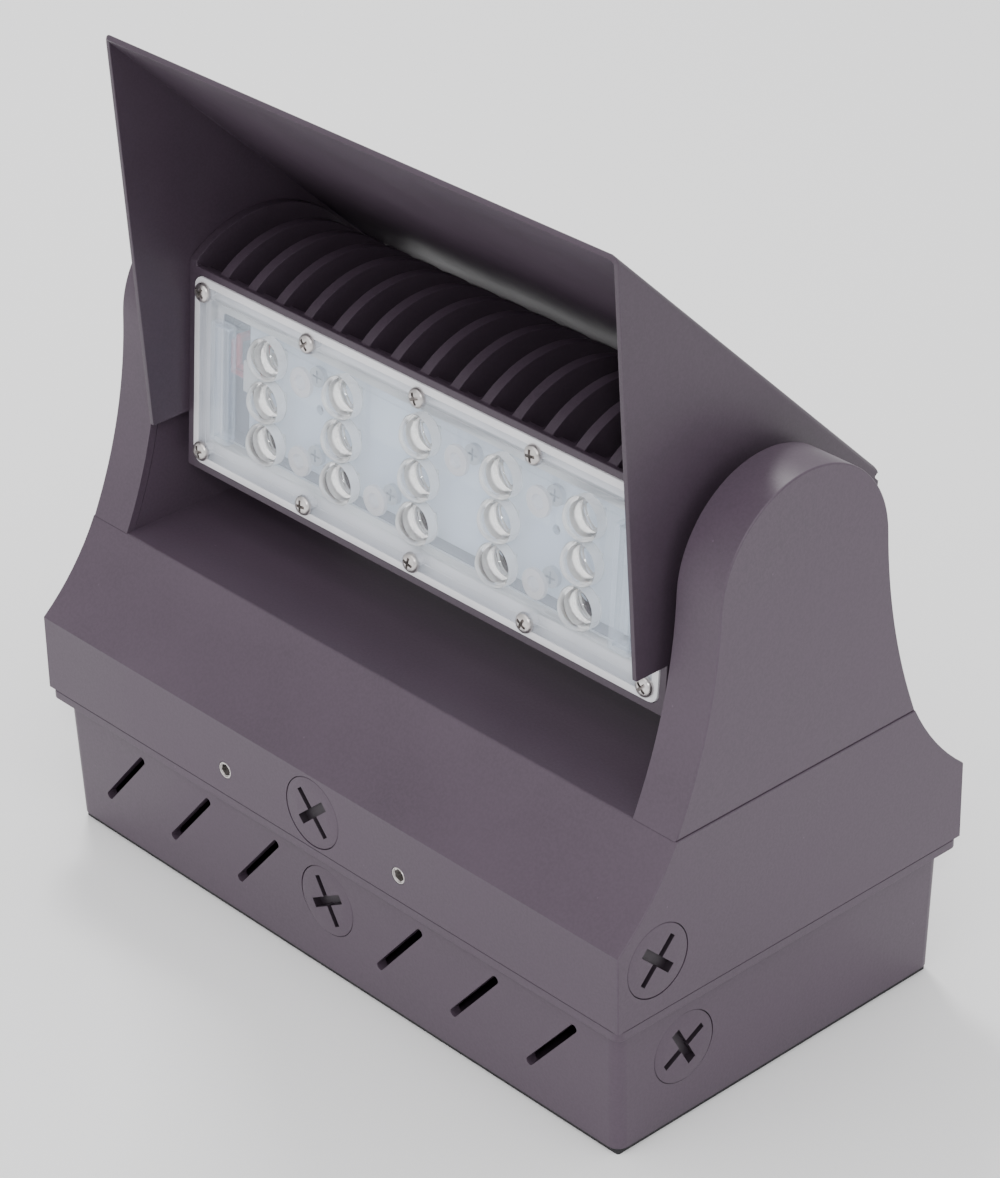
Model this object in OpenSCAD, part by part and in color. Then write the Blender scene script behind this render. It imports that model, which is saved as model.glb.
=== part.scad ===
// Wall pack light: a cast housing on a back box, with an LED head that tilts between two arms.
// The wall face lies on the XY plane and +Z points out from the wall. The LEDs face -Y, which
// is down once the light is on its wall, and +X is to the right as seen from the LED side.
// The origin is the centre of the wall face.

/* [Housing] */
// Width of the housing
housing_w = 232; // [230:0.5:246]
// Depth of the housing, from the LED side to the far side
housing_d = 127.5; // [126:0.1:136]
// Height of the upright skirt above the joint
skirt_h = 22.9; // [22.5:0.1:28]
// Height of the hollow slope above the skirt
slope_h = 25.1; // [24.5:0.1:29]
// How far the slope draws in on each side
slope_inset = 20.1; // [18:0.1:20.8]
// How far the slope bows inwards between its ends
slope_bow = 1.7; // [1:0.1:2.4]
// Thickness of the cast housing and box walls
wall = 3; // [2.6:0.1:3.2]

/* [Back box] */
// How far the ends of the box stand in from the housing's, at the wall
box_end_inset = 4.7; // [4.5:0.1:7]
// How far the long sides of the box stand in from the housing's, at the wall
box_side_inset = 4.35; // [4.25:0.05:5.25]
// Height of the back box, from its wall side to the joint
box_h = 41.2; // [40.5:0.1:48]
// How far each side of the box flares out towards the joint
box_flare = 1; // [0.8:0.1:1.4]
// Corner radius of the box
box_corner_r = 3.6; // [3.4:0.1:5]
// Thickness of the flange that the housing sits on
flange_t = 2.6; // [2.2:0.1:3.4]
// Thickness of the foam gasket on the wall side
wall_gasket_t = 1.8; // [1.2:0.1:3]
// Width of the foam gasket's band
wall_gasket_band = 8; // [6:0.1:9]
// Thickness of the gasket in the joint
joint_gasket_t = 0.6; // [0.5:0.1:1]

/* [Vent slots] */
// Number of slots on each side of the middle
slots_per_side = 3; // [1:1:3]
// Distance from each end of the box to the middle of the last slot
slot_end = 23.7; // [22.5:0.1:28.4]
// Length of a slot, end to end
slot_l = 28.4; // [20:0.1:29.5]
// Width of a slot
slot_w = 2.4; // [1.8:0.1:3]
// Lean of the slots from upright, in degrees
slot_lean = 41; // [32:1:44]

/* [Cable entries] */
// Radius of the threaded cable entries, half-inch pipe thread
entry_r = 10.65; // [10:0.05:10.8]
// Depth of thread in each cable entry
entry_depth = 8; // [7:0.1:9]
// Radius of the wire hole in the wall side of the box
wire_hole_r = 14; // [11:0.1:16]

/* [Wall fixing] */
// Distance of the wall screws from the ends of the box
wall_screw_end = 21.3; // [19.3:0.1:26.3]
// Distance of the wall screws from the long sides of the box
wall_screw_side = 19.4; // [17.4:0.1:23.4]
// Radius of the wall screw holes
wall_screw_r = 3.3; // [2.6:0.1:3.6]
// Distance between the junction box screws
junction_pitch = 88.9; // [82:0.1:96]
// Radius of the junction box screw holes
junction_r = 2.4; // [2:0.1:2.8]

/* [Arms] */
// Height of the tilt axis above the deck
pivot_rise = 57.4; // [56:0.1:62]
// Radius of the round top of each arm
arm_r = 29.9; // [28.5:0.1:31]
// Thickness of each arm
arm_w = 15; // [14.9:0.1:16.5]
// Thickness of the arm covers
cover_t = 2.4; // [2.1:0.1:2.5]
// Gap between the hood and each arm
side_gap = 5.5; // [5.2:0.1:6]
// Tilt of the head back from straight across, in degrees
head_tilt = 4.8; // [0:0.1:15]

/* [LED head] */
// Distance of the lens plate's face ahead of the tilt axis
plate_ahead = 22.9; // [22.3:0.1:23.6]
// Distance of the lens plate's lower edge below the tilt axis
plate_drop = 38.8; // [38.2:0.1:39.4]
// Height of the lens plate
plate_h = 55.6; // [55:0.1:56.4]
// Thickness of the lens plate
plate_t = 3; // [2.6:0.1:3.2]
// Width of the cast rim beside the lens plate
rim_side = 2.5; // [2:0.1:3]
// Width of the cast rim above and below the lens plate
rim_edge = 2.3; // [1.9:0.1:2.6]
// Radius of the cooling fins' round outline
fin_r = 35.8; // [35.2:0.1:36.6]
// Thickness of a cooling fin
fin_t = 3.4; // [2.6:0.1:4]
// Number of fins between the end walls
fin_count = 15; // [9:2:17]

/* [LEDs and lenses] */
// Number of LED columns
led_columns = 5; // [3:2:5]
// Number of LED rows
led_rows = 3; // [1:2:3]
// Distance from each end of the lens plate to the first LED column
led_end = 29.9; // [29:0.1:33.3]
// Distance between LED rows
led_pitch_z = 12.55; // [12.3:0.05:12.7]
// Radius of a lens dome where it leaves the plate
dome_r = 6.1; // [5.6:0.1:6.1]
// Height of a lens dome
dome_h = 4.3; // [3.8:0.1:4.8]

/* [Hood] */
// Thickness of the hood's sheet
hood_t = 1.5; // [1.2:0.1:1.7]
// Distance of the hood's front edge ahead of the tilt axis, at the top
hood_ahead = 50.5; // [46:0.1:53]
// Rise of the hood's front edge above the tilt axis
hood_rise = 89.9; // [82:0.1:96]
// Distance of the hood's back edge behind the tilt axis
hood_back = 49.4; // [48:0.1:50.5]
// Rise of the hood's back bend above the tilt axis
hood_back_rise = 7.2; // [6:0.1:8.5]

/* [Driver] */
// Length of the LED driver's case
driver_l = 138; // [120:1:142]
// Depth of the LED driver's case
driver_d = 62; // [52:1:64]
// Height of the LED driver's case
driver_h = 32; // [26:0.1:33]

/* [Hidden] */
$fn = 64;
large_fn = 256;
hull_fn = 32;
// One overrun for every cut
over = 0.6;
// Gap round a fixed piece in its hole
fixed_gap = 0.05;
// Gap round a turning shaft
running_gap = 0.05;
// Gap between turning faces along the tilt axis
end_gap = 0.1;
// Gap between pieces that slip together
slip_gap = 0.2;

// Sizes of the back box, which follow the housing's
box_w = housing_w - 2 * box_end_inset;
box_d = housing_d - 2 * box_side_inset;
slot_pitch = (box_w / 2 - slot_end) / slots_per_side;
wall_screw_x = box_w - 2 * wall_screw_end;
wall_screw_y = box_d - 2 * wall_screw_side;

// Levels above the wall
flange_z = wall_gasket_t + box_h;
joint_z = flange_z + joint_gasket_t;
housing_h = skirt_h + slope_h;
deck_z = joint_z + housing_h;
deck_under_z = deck_z - wall;
pivot_z = deck_z + pivot_rise;

// Inner faces of the housing's walls
inner_x = housing_w / 2 - wall;
inner_y = housing_d / 2 - wall;

// Hollow slope: its arc runs from the top of the skirt to the edge of the deck
slope_chord = norm([slope_inset, slope_h]);
slope_r = (pow(slope_chord / 2, 2) + pow(slope_bow, 2)) / (2 * slope_bow);
slope_reach = slope_r - slope_bow;
slope_centre_y = (housing_d - slope_inset) / 2 + slope_reach * slope_h / slope_chord;
slope_centre_z = skirt_h + slope_h / 2 + slope_reach * slope_inset / slope_chord;

// Arm outline: a round top on flanks that sweep out to the deck's edge
arm_base = housing_d / 2 - slope_inset;
arm_top_back = 1.2;
arm_top_drop = 0.8;
arm_top_z = pivot_z - arm_top_drop;
flank_lift = 8.8;
flank_rise = arm_top_z + flank_lift - deck_z;
arm_step = 0.2;
arm_out = housing_w / 2 - arm_step;
arm_in = arm_out - arm_w;
cover_in = arm_out - cover_t;
bracket_t = 2.8;
bracket_out = arm_in + bracket_t;
bracket_boss_r = 17;
cover_post_edge = 9.65;
cover_post_y = arm_base - cover_post_edge;
foot_y_share = 0.59;
foot_w_share = 0.47;
foot_y = cover_post_y * foot_y_share;
foot_w = cover_post_y * foot_w_share;
foot_t = 4;
foot_l = 9.4;

// Widths that follow from the space between the arms
hood_half = arm_in - side_gap;
head_half = hood_half - hood_t;
plate_half = head_half - rim_side;

// Back box: the flange stops just short of the housing's outline
flange_inset = 0.4;
flange_corner_r = 2.6;
box_floor_t = 3;
box_floor_z = wall_gasket_t + box_floor_t;
slot_rise = 21.8;
box_entry_rise = 22;
box_front_entry_rise = 23;
box_side_entry_inset = 23;
box_side_entry_y = box_d / 2 - box_side_entry_inset;
wall_gasket_inset = 1;
wall_gasket_corner_r = 0.8;
joint_gasket_inset = 0.8;
joint_gasket_band = 2;
entry_collar = 3;

// Lugs and hooks on the box that hold the housing
lug_x = 35.4;
lug_left = 1.2;
lug_w = 12;
lug_t = 4.5;
lug_h = 14;
lug_root = 4;
hook_x = 55;
hook_w = 14;
hook_h = 12;
lip_h = 3;
lip_out = 1.5;
pocket_deep = 1.8;
set_screw_rise = 7.9;
set_screw_r = 2.5;
set_screw_l = 6;
set_screw_key_r = 1.55;
set_screw_key_l = 3;

// Entry plugs
plug_r = entry_r - 0.8 * slip_gap;
plug_cross_l = 15.2;
plug_narrow = 1.9;
plug_wide = 2.8;
plug_wide_l = 12.8;
plug_cross_deep = 2.2;
front_entry_rise = 11.3;
side_entry_rise = 15.8;
side_entry_inset = 13.85;
side_entry_y = housing_d / 2 - side_entry_inset;
front_plug_turn = 41;
front_box_plug_turn = 30;
side_plug_turn = -44;
side_box_plug_turn = -62;

// Screws: shank radius, head radius, head height
m3_r = 1.5;
m3_head_r = 2.9;
m3_head_h = 1.9;
m4_r = 2;
m4_head_r = 3.5;
m4_head_h = 2.6;
m5_r = 2.5;
m5_head_r = 4.4;
m5_head_h = 3.2;
recess_w_share = 0.22;
recess_l_share = 1.25;
recess_h_share = 0.6;

// Fixings in the deck
arm_bolt_out = 4;
arm_bolt_x = bracket_out + arm_bolt_out;
arm_bolt_l = wall + foot_t - m5_r / 2;
cover_post_r = 4;
cover_post_in = 4.5;
cover_post_x = cover_in - cover_post_in;
cover_post_h = 12;
cover_screw_grip = 7;
cover_screw_l = wall + cover_screw_grip;
grommet_out = 4.6;
grommet_x = bracket_out + grommet_out;
grommet_r = 3.6;
grommet_lip_r = 4.5;
grommet_lip_h = 1.2;
grommet_bore_r = 2.2;

// Tilt pivots
sleeve_r = 6;
sleeve_bore_r = 3.9;
sleeve_grip = 9.6;
sleeve_in = head_half - sleeve_grip;
friction_washer_r = 15;
friction_t = side_gap / 3;
pivot_washer_r = 11;
pivot_washer_t = 1;
pivot_nut_r = 10;
pivot_nut_h = 3.2;
nut_in = bracket_out + pivot_washer_t + end_gap;
nut_out = nut_in + pivot_nut_h;
sleeve_out = nut_out + slip_gap;

// Depths in the head, measured back from the tilt axis and so negative ahead of it
plate_front_y = -plate_ahead;
plate_back_y = plate_front_y + plate_t;
plate_proud = 0.3;
frame_front_y = plate_front_y + plate_proud;
lens_gasket_t = 0.8;
seat_y = plate_back_y + lens_gasket_t;
pocket_depth = 4.6;
pocket_floor_y = seat_y + pocket_depth;
head_base_t = 4.4;
head_base_y = pocket_floor_y + head_base_t;
rim_t = 1.6;
fin_start_y = frame_front_y + rim_t;
shelf_t = 4.6;

// Heights in the head, measured from the tilt axis
plate_low_z = -plate_drop;
plate_mid_z = plate_low_z + plate_h / 2;
frame_low_z = plate_low_z - rim_edge;
frame_h = plate_h + 2 * rim_edge;
shelf_step = 1.2;
base_step = 4.2;

// Heat sink
fin_centre_y = 3.2;
fin_centre_z = -7;
end_wall_t = 2.9;
end_wall_rise = 1.9;
fin_pitch = (2 * head_half - end_wall_t) / (fin_count + 1);
pivot_boss_r = 11;
pivot_boss_l = 21;
lead_hole_end = 14;
lead_hole_x = head_half - lead_hole_end;
lead_hole_r = 3.4;

// Lens plate and what lies behind it
plate_corner_r = 3.2;
lens_screw_inset = 4.1;
lens_screw_columns = 5;
lens_screw_l = 8;
pocket_end = 9.4;
pocket_w = 2 * (head_half - pocket_end);
pocket_h = 36.6;
gasket_band = 3;
gasket_gap = 0.4;
bump_w = 7.6;
bump_h = 35.4;
bump_out = 2;
bump_end = 12.9;
bump_x = plate_half - bump_end;
bump_wall = 1.4;
dome_sphere_r = (pow(dome_r, 2) + pow(dome_h, 2)) / (2 * dome_h);
dome_cup_r = 2.8;
board_t = 1.6;
board_end = 15.9;
board_left = plate_half - board_end;
board_gap = 1;
board_right = pocket_w / 2 - board_gap;
board_h = 35;
board_hole_r = 1.4;
board_hole_rise = 1.6;
board_front_y = pocket_floor_y - board_t;
chip_w = 3.5;
chip_t = 1.3;
board_screw_head_h = 1.4;
board_screw_z = 11.6;
board_screw_pitch = (plate_half - led_end) / 2;
board_hole_out = 3 / 2 * board_screw_pitch;
led_pitch_x = 2 * (plate_half - led_end) / (led_columns - 1);
connector_w = 6;
connector_h = 9;
connector_t = 3;
connector_inset = 3.8;
connector_x = board_left - connector_inset;
connector_z = 8.6;

// Hood
hood_tip_ahead = 34.9;
hood_tip_drop = 26.2;
hood_side_drop = 19;
hood_flange_h = 9;
hood_slope = (hood_rise - hood_back_rise) / (hood_ahead + hood_back);
hood_hole_r = sleeve_r + slip_gap;
hood_screw_y = 15.5;
hood_screw_z = 15.5;
hood_screw_l = 8;
hood_screw_boss_r = 4.6;
relief_r = 1.9;

// Leads
lead_r = 0.9;
lead_step = 1.1;
head_lead_y = board_front_y - lead_r - slip_gap;
arm_lead_x = (sleeve_out + cover_in) / 2;
arm_lead_rise = 9;
arm_lead_bend_z = deck_z + arm_lead_rise;

// Driver and wiring
driver_top_z = deck_under_z - slip_gap;
driver_tab_l = 9;
driver_tab_t = 1.5;
driver_pad_h = 4;
driver_pad_r = 4.2;
driver_screw_y = 22;
driver_screw_l = 6.4;
driver_tab_x = driver_l / 2 + driver_tab_l / 2;
supply_r = 1.1;
supply_pitch = 9;
supply_loop = 15;
supply_drop_x = driver_l / 2 + supply_loop;
supply_end_z = 22;
connector_nut_r = 4.2;
connector_nut_top_r = 3;
connector_nut_h = 15;
ground_boss_back = 6;
ground_boss_x = supply_drop_x - ground_boss_back;
ground_boss_y = 30;
ground_boss_r = 4.5;
ground_boss_h = 8;
ground_screw_l = 7;

bronze = [0.29, 0.25, 0.28];
dark_bronze = [0.22, 0.18, 0.21];
steel = [0.78, 0.78, 0.8];
foam = [0.12, 0.12, 0.13];
clear = [0.82, 0.86, 0.9];
white = [0.93, 0.94, 0.96];

// A plate with round corners, centred on the Z axis
module round_plate(w, d, r, h) {
    translate([-w / 2, r - d / 2, 0]) cube([w, d - 2 * r, h]);
    translate([r - w / 2, -d / 2, 0]) cube([w - 2 * r, d, h]);
    for (x = [r - w / 2, w / 2 - r], y = [r - d / 2, d / 2 - r])
        translate([x, y, 0]) cylinder(r = r, h = h);
}

// A band that follows a round plate's edge
module round_band(w, d, r, h, band) {
    difference() {
        round_plate(w, d, r, h);
        translate([0, 0, -over]) cube_centred(w - 2 * band, d - 2 * band, h + 2 * over);
    }
}

// A block centred on the Z axis
module cube_centred(w, d, h) {
    translate([-w / 2, -d / 2, 0]) cube([w, d, h]);
}

// Cylinders that point along +X and +Y
module along_x(r, l) {
    rotate([0, 90, 0]) cylinder(r = r, h = l);
}

module along_y(r, l) {
    rotate([-90, 0, 0]) cylinder(r = r, h = l);
}

// An outline drawn in (Y, Z), drawn out from one X to another
module extrude_x(from, to) {
    translate([from, 0, 0]) rotate([90, 0, 90]) linear_extrude(height = to - from) children();
}

module both_sides() {
    children();
    mirror([1, 0, 0]) children();
}

module in_head() {
    translate([0, 0, pivot_z]) rotate([-head_tilt, 0, 0]) children();
}

// A cross-recess pan screw: its head is above z = 0 and its shank below
module pan_screw(r, l, head_r, head_h) {
    translate([0, 0, -l]) cylinder(r = r, h = l + head_h / 2);
    difference() {
        cylinder(r = head_r, h = head_h);
        for (turn = [0, 90])
            rotate([0, 0, turn])
                translate([0, 0, head_h * (1 - recess_h_share)])
                    cube_centred(head_r * recess_l_share, head_r * recess_w_share, head_h);
    }
}

// A lead through a list of points, with round bends
module lead(points, r) {
    for (i = [0 : len(points) - 2]) {
        run = points[i + 1] - points[i];
        flat = norm([run[0], run[1]]);
        translate(points[i])
            rotate([0, atan2(flat, run[2]), atan2(run[1], run[0])])
                cylinder(r = r, h = norm(run), $fn = 24);
    }
    for (i = [1 : 1 : len(points) - 2])
        translate(points[i]) sphere(r = r, $fn = 24);
}

module wall_gasket() {
    color(foam)
        round_band(box_w - 2 * wall_gasket_inset, box_d - 2 * wall_gasket_inset,
            wall_gasket_corner_r, wall_gasket_t, wall_gasket_band);
}

// The box's outer or inner form, drawn in by an inset
module box_form(inset, low, high) {
    hull() {
        translate([0, 0, low]) box_corners(box_w - 2 * inset, box_d - 2 * inset, box_corner_r - inset);
        translate([0, 0, high - over])
            box_corners(box_w + 2 * (box_flare - inset), box_d + 2 * (box_flare - inset),
                box_corner_r - inset);
    }
}

module box_corners(w, d, r) {
    for (x = [r - w / 2, w / 2 - r], y = [r - d / 2, d / 2 - r])
        translate([x, y, 0]) cylinder(r = r, h = over, $fn = hull_fn);
}

module vent_slot() {
    rotate([0, slot_lean, 0]) {
        translate([-slot_w / 2, 0, slot_w / 2 - slot_l / 2])
            cube([slot_w, 2 * wall + 2 * over + box_flare, slot_l - slot_w]);
        for (z = [slot_w / 2 - slot_l / 2, slot_l / 2 - slot_w / 2])
            translate([0, 0, z]) along_y(slot_w / 2, 2 * wall + 2 * over + box_flare);
    }
}

module back_box() {
    front = box_d / 2 + box_flare;
    side = box_w / 2 + box_flare;
    color(bronze)
        difference() {
            union() {
                difference() {
                    union() {
                        box_form(0, wall_gasket_t, flange_z - flange_t + over);
                        translate([0, 0, flange_z - flange_t])
                            round_plate(housing_w - 2 * flange_inset, housing_d - 2 * flange_inset,
                                flange_corner_r, flange_t);
                    }
                    box_form(wall, box_floor_z, flange_z + 2 * over);
                }
                intersection() {
                    union() {
                        translate([0, -front, wall_gasket_t + box_front_entry_rise])
                            along_y(entry_r + entry_collar, entry_depth);
                        both_sides()
                            translate([side - entry_depth, -box_side_entry_y, wall_gasket_t + box_entry_rise])
                                along_x(entry_r + entry_collar, entry_depth);
                    }
                    box_form(0, wall_gasket_t, flange_z - flange_t + over);
                }
                for (x = [-lug_x, lug_x])
                    translate([x - lug_left - lug_w / 2, slip_gap - inner_y, flange_z - lug_root])
                        cube([lug_w, lug_t, lug_h + lug_root]);
                both_sides() {
                    translate([hook_x - hook_w / 2, inner_y - slip_gap - lug_t, flange_z - lug_root])
                        cube([hook_w, lug_t, hook_h + lug_root]);
                    translate([hook_x - hook_w / 2, inner_y - slip_gap - lug_t, flange_z + hook_h - lip_h])
                        cube([hook_w, lug_t + lip_out, lip_h]);
                }
                translate([ground_boss_x, ground_boss_y, wall_gasket_t])
                    cylinder(r = ground_boss_r, h = box_floor_t + ground_boss_h);
            }
            for (side_sign = [-1, 1], k = [1 : slots_per_side])
                translate([side_sign * k * slot_pitch, -front - over, wall_gasket_t + slot_rise]) vent_slot();
            translate([0, -front - over, wall_gasket_t + box_front_entry_rise])
                along_y(entry_r, entry_depth + 2 * over);
            both_sides()
                translate([side - entry_depth - over, -box_side_entry_y, wall_gasket_t + box_entry_rise])
                    along_x(entry_r, entry_depth + 2 * over);
            for (x = [-wall_screw_x, wall_screw_x] / 2, y = [-wall_screw_y, wall_screw_y] / 2)
                translate([x, y, wall_gasket_t - over])
                    cylinder(r = wall_screw_r, h = box_floor_t + 2 * over);
            for (x = [-junction_pitch, junction_pitch] / 2)
                translate([x, 0, wall_gasket_t - over]) cylinder(r = junction_r, h = box_floor_t + 2 * over);
            translate([0, 0, wall_gasket_t - over]) cylinder(r = wire_hole_r, h = box_floor_t + 2 * over);
            for (x = [-lug_x, lug_x])
                translate([x - lug_left, -inner_y, joint_z + set_screw_rise])
                    along_y(set_screw_r + fixed_gap, lug_t + over);
            translate([ground_boss_x, ground_boss_y, box_floor_z + ground_boss_h - ground_screw_l])
                cylinder(r = m4_r + fixed_gap, h = ground_screw_l + over);
        }
}

module joint_gasket() {
    color(foam)
        translate([0, 0, flange_z])
            round_band(housing_w - 2 * joint_gasket_inset, housing_d - 2 * joint_gasket_inset,
                flange_corner_r, joint_gasket_t, joint_gasket_band);
}

// The housing's outline in (Y, Z) above the joint, drawn in by an inset
module housing_outline(inset, low) {
    difference() {
        translate([inset - housing_d / 2, low]) square([housing_d - 2 * inset, housing_h - inset - low]);
        for (side_sign = [-1, 1])
            translate([side_sign * slope_centre_y, slope_centre_z])
                circle(r = slope_r + inset, $fn = large_fn);
    }
}

module housing() {
    color(bronze)
        difference() {
            translate([0, 0, joint_z]) extrude_x(-housing_w / 2, housing_w / 2) housing_outline(0, 0);
            difference() {
                translate([0, 0, joint_z]) extrude_x(-inner_x, inner_x) housing_outline(wall, -over);
                translate([0, -housing_d / 2, joint_z + front_entry_rise])
                    along_y(entry_r + entry_collar, entry_depth);
                both_sides() {
                    translate([housing_w / 2 - entry_depth, -side_entry_y, joint_z + side_entry_rise])
                        along_x(entry_r + entry_collar, entry_depth);
                    for (side_sign = [-1, 1])
                        translate([driver_tab_x, side_sign * driver_screw_y, deck_under_z - driver_pad_h])
                            cylinder(r = driver_pad_r, h = driver_pad_h + over);
                }
            }
            translate([0, -housing_d / 2 - over, joint_z + front_entry_rise])
                along_y(entry_r, entry_depth + 2 * over);
            for (x = [-lug_x, lug_x])
                translate([x - lug_left, -housing_d / 2 - over, joint_z + set_screw_rise])
                    along_y(set_screw_r + fixed_gap, wall + 2 * over);
            both_sides() {
                translate([housing_w / 2 - entry_depth - over, -side_entry_y, joint_z + side_entry_rise])
                    along_x(entry_r, entry_depth + 2 * over);
                translate([
                    hook_x - hook_w / 2 - slip_gap,
                    inner_y - over,
                    flange_z + hook_h - lip_h - slip_gap
                ])
                    cube([hook_w + 2 * slip_gap, pocket_deep + over, lip_h + 2 * slip_gap]);
                for (side_sign = [-1, 1]) {
                    translate([arm_bolt_x, side_sign * foot_y, deck_under_z - over])
                        cylinder(r = m5_r + slip_gap, h = wall + 2 * over);
                    translate([cover_post_x, side_sign * cover_post_y, deck_under_z - over])
                        cylinder(r = m4_r + slip_gap, h = wall + 2 * over);
                    translate([driver_tab_x, side_sign * driver_screw_y, deck_under_z - driver_pad_h - over])
                        cylinder(r = m4_r + fixed_gap, h = driver_screw_l - driver_tab_t + over + fixed_gap);
                }
            }
            translate([-grommet_x, 0, deck_under_z - over])
                cylinder(r = grommet_r, h = wall + 2 * over);
        }
}

module housing_set_screws() {
    color(steel)
        for (x = [-lug_x, lug_x])
            translate([x - lug_left, fixed_gap - housing_d / 2, joint_z + set_screw_rise])
                difference() {
                    along_y(set_screw_r, set_screw_l);
                    rotate([-90, 0, 0])
                        translate([0, 0, -over])
                            cylinder(r = set_screw_key_r, h = set_screw_key_l + over, $fn = 6);
                }
}

// A flush plug whose face is at z = 0, seen from above; its cross is one long slot and one wide
module entry_plug(turn) {
    difference() {
        translate([0, 0, -entry_depth]) cylinder(r = plug_r, h = entry_depth);
        rotate([0, 0, turn])
            translate([0, 0, -plug_cross_deep]) {
                cube_centred(plug_wide_l, plug_wide, plug_cross_deep + over);
                cube_centred(plug_narrow, plug_cross_l, plug_cross_deep + over);
            }
    }
}

module housing_entry_plugs() {
    color(bronze) {
        translate([0, fixed_gap - housing_d / 2, joint_z + front_entry_rise])
            rotate([90, 0, 0]) entry_plug(front_plug_turn);
        both_sides()
            translate([housing_w / 2 - fixed_gap, -side_entry_y, joint_z + side_entry_rise])
                rotate([90, 0, 90]) entry_plug(side_plug_turn);
    }
}

module box_entry_plugs() {
    face_y = box_d / 2 + box_flare * box_front_entry_rise / (box_h - flange_t);
    face_x = box_w / 2 + box_flare * box_entry_rise / (box_h - flange_t);
    color(bronze) {
        translate([0, -face_y, wall_gasket_t + box_front_entry_rise])
            rotate([90, 0, 0]) entry_plug(front_box_plug_turn);
        both_sides()
            translate([face_x, -box_side_entry_y, wall_gasket_t + box_entry_rise])
                rotate([90, 0, 90]) entry_plug(side_box_plug_turn);
    }
}

// Radius of the flank that touches the arm's round top and meets the deck at a given reach from its centre
function flank_r(reach) =
    let (
        k = pow(arm_r, 2) - pow(flank_lift, 2) + pow(reach, 2) + pow(flank_rise, 2),
        a = pow(arm_r, 2) - pow(reach, 2),
        b = arm_r * (k - 2 * pow(reach, 2)),
        c = pow(k, 2) / 4 - pow(reach, 2) * (pow(arm_r, 2) - pow(flank_lift, 2))
    )
    (b + sqrt(pow(b, 2) - 4 * a * c)) / (-2 * a);

// An arm's outline in (Y, Z), with its base on the deck; the round top leans back a little
module arm_outline(inset, low) {
    translate([arm_top_back, arm_top_z]) circle(r = arm_r - inset, $fn = large_fn / 2);
    for (side_sign = [-1, 1]) {
        reach = arm_base - side_sign * arm_top_back;
        r = flank_r(reach);
        touch_rise = (arm_r - inset) * flank_lift / (arm_r + r);
        centre_out = sqrt(pow(arm_r + r, 2) - pow(flank_lift, 2));
        difference() {
            translate([arm_top_back - (side_sign < 0 ? reach : over), low])
                square([reach + over, arm_top_z + touch_rise - low]);
            translate([arm_top_back + side_sign * centre_out, arm_top_z + flank_lift])
                circle(r = r + inset, $fn = large_fn);
        }
    }
}

module arm_bracket() {
    color(dark_bronze)
        difference() {
            union() {
                extrude_x(arm_in, bracket_out) arm_outline(cover_t + slip_gap, deck_z);
                translate([hood_half + end_gap + friction_t, 0, pivot_z])
                    along_x(bracket_boss_r, arm_in - hood_half - friction_t);
                for (side_sign = [-1, 1])
                    translate([arm_in, side_sign * foot_y - foot_w / 2, deck_z])
                        cube([bracket_t + foot_l, foot_w, foot_t]);
            }
            translate([hood_half, 0, pivot_z])
                along_x(sleeve_r + running_gap, bracket_out - hood_half + over);
            for (side_sign = [-1, 1])
                translate([arm_bolt_x, side_sign * foot_y, deck_z - over])
                    cylinder(r = m5_r + fixed_gap, h = foot_t + 2 * over);
        }
}

module left_arm_bracket() {
    mirror([1, 0, 0]) arm_bracket();
}

module right_arm_bracket() {
    arm_bracket();
}

module arm_cover() {
    color(bronze)
        difference() {
            union() {
                difference() {
                    extrude_x(arm_in, arm_out) arm_outline(0, deck_z);
                    extrude_x(arm_in - over, cover_in) arm_outline(cover_t, deck_z - over);
                }
                for (side_sign = [-1, 1])
                    translate([cover_post_x, side_sign * cover_post_y, deck_z]) {
                        cylinder(r = cover_post_r, h = cover_post_h);
                        translate([0, -cover_post_r, 0])
                            cube([arm_out - cover_t / 2 - cover_post_x, 2 * cover_post_r, cover_post_h]);
                    }
            }
            for (side_sign = [-1, 1])
                translate([cover_post_x, side_sign * cover_post_y, deck_z - over])
                    cylinder(r = m4_r + fixed_gap, h = cover_screw_l - wall + over + fixed_gap);
        }
}

module left_arm_cover() {
    mirror([1, 0, 0]) arm_cover();
}

module right_arm_cover() {
    arm_cover();
}

module arm_bolts() {
    color(steel)
        both_sides()
            for (side_sign = [-1, 1])
                translate([arm_bolt_x, side_sign * foot_y, deck_under_z])
                    rotate([180, 0, 0]) pan_screw(m5_r, arm_bolt_l, m5_head_r, m5_head_h);
}

module cover_screws() {
    color(steel)
        both_sides()
            for (side_sign = [-1, 1])
                translate([cover_post_x, side_sign * cover_post_y, deck_under_z])
                    rotate([180, 0, 0]) pan_screw(m4_r, cover_screw_l, m4_head_r, m4_head_h);
}

module friction_washers() {
    color(foam)
        both_sides()
            translate([hood_half + end_gap, 0, pivot_z])
                difference() {
                    along_x(friction_washer_r, friction_t - end_gap);
                    translate([-over, 0, 0]) along_x(sleeve_r + slip_gap, friction_t + 2 * over);
                }
}

module pivot_washers() {
    color(steel)
        both_sides()
            translate([bracket_out, 0, pivot_z])
                difference() {
                    along_x(pivot_washer_r, pivot_washer_t);
                    translate([-over, 0, 0]) along_x(sleeve_r + slip_gap, pivot_washer_t + 2 * over);
                }
}

module pivot_sleeves() {
    color(steel)
        both_sides()
            translate([sleeve_in, 0, pivot_z])
                difference() {
                    along_x(sleeve_r, sleeve_out - sleeve_in);
                    translate([-over, 0, 0]) along_x(sleeve_bore_r, sleeve_out - sleeve_in + 2 * over);
                }
}

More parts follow.
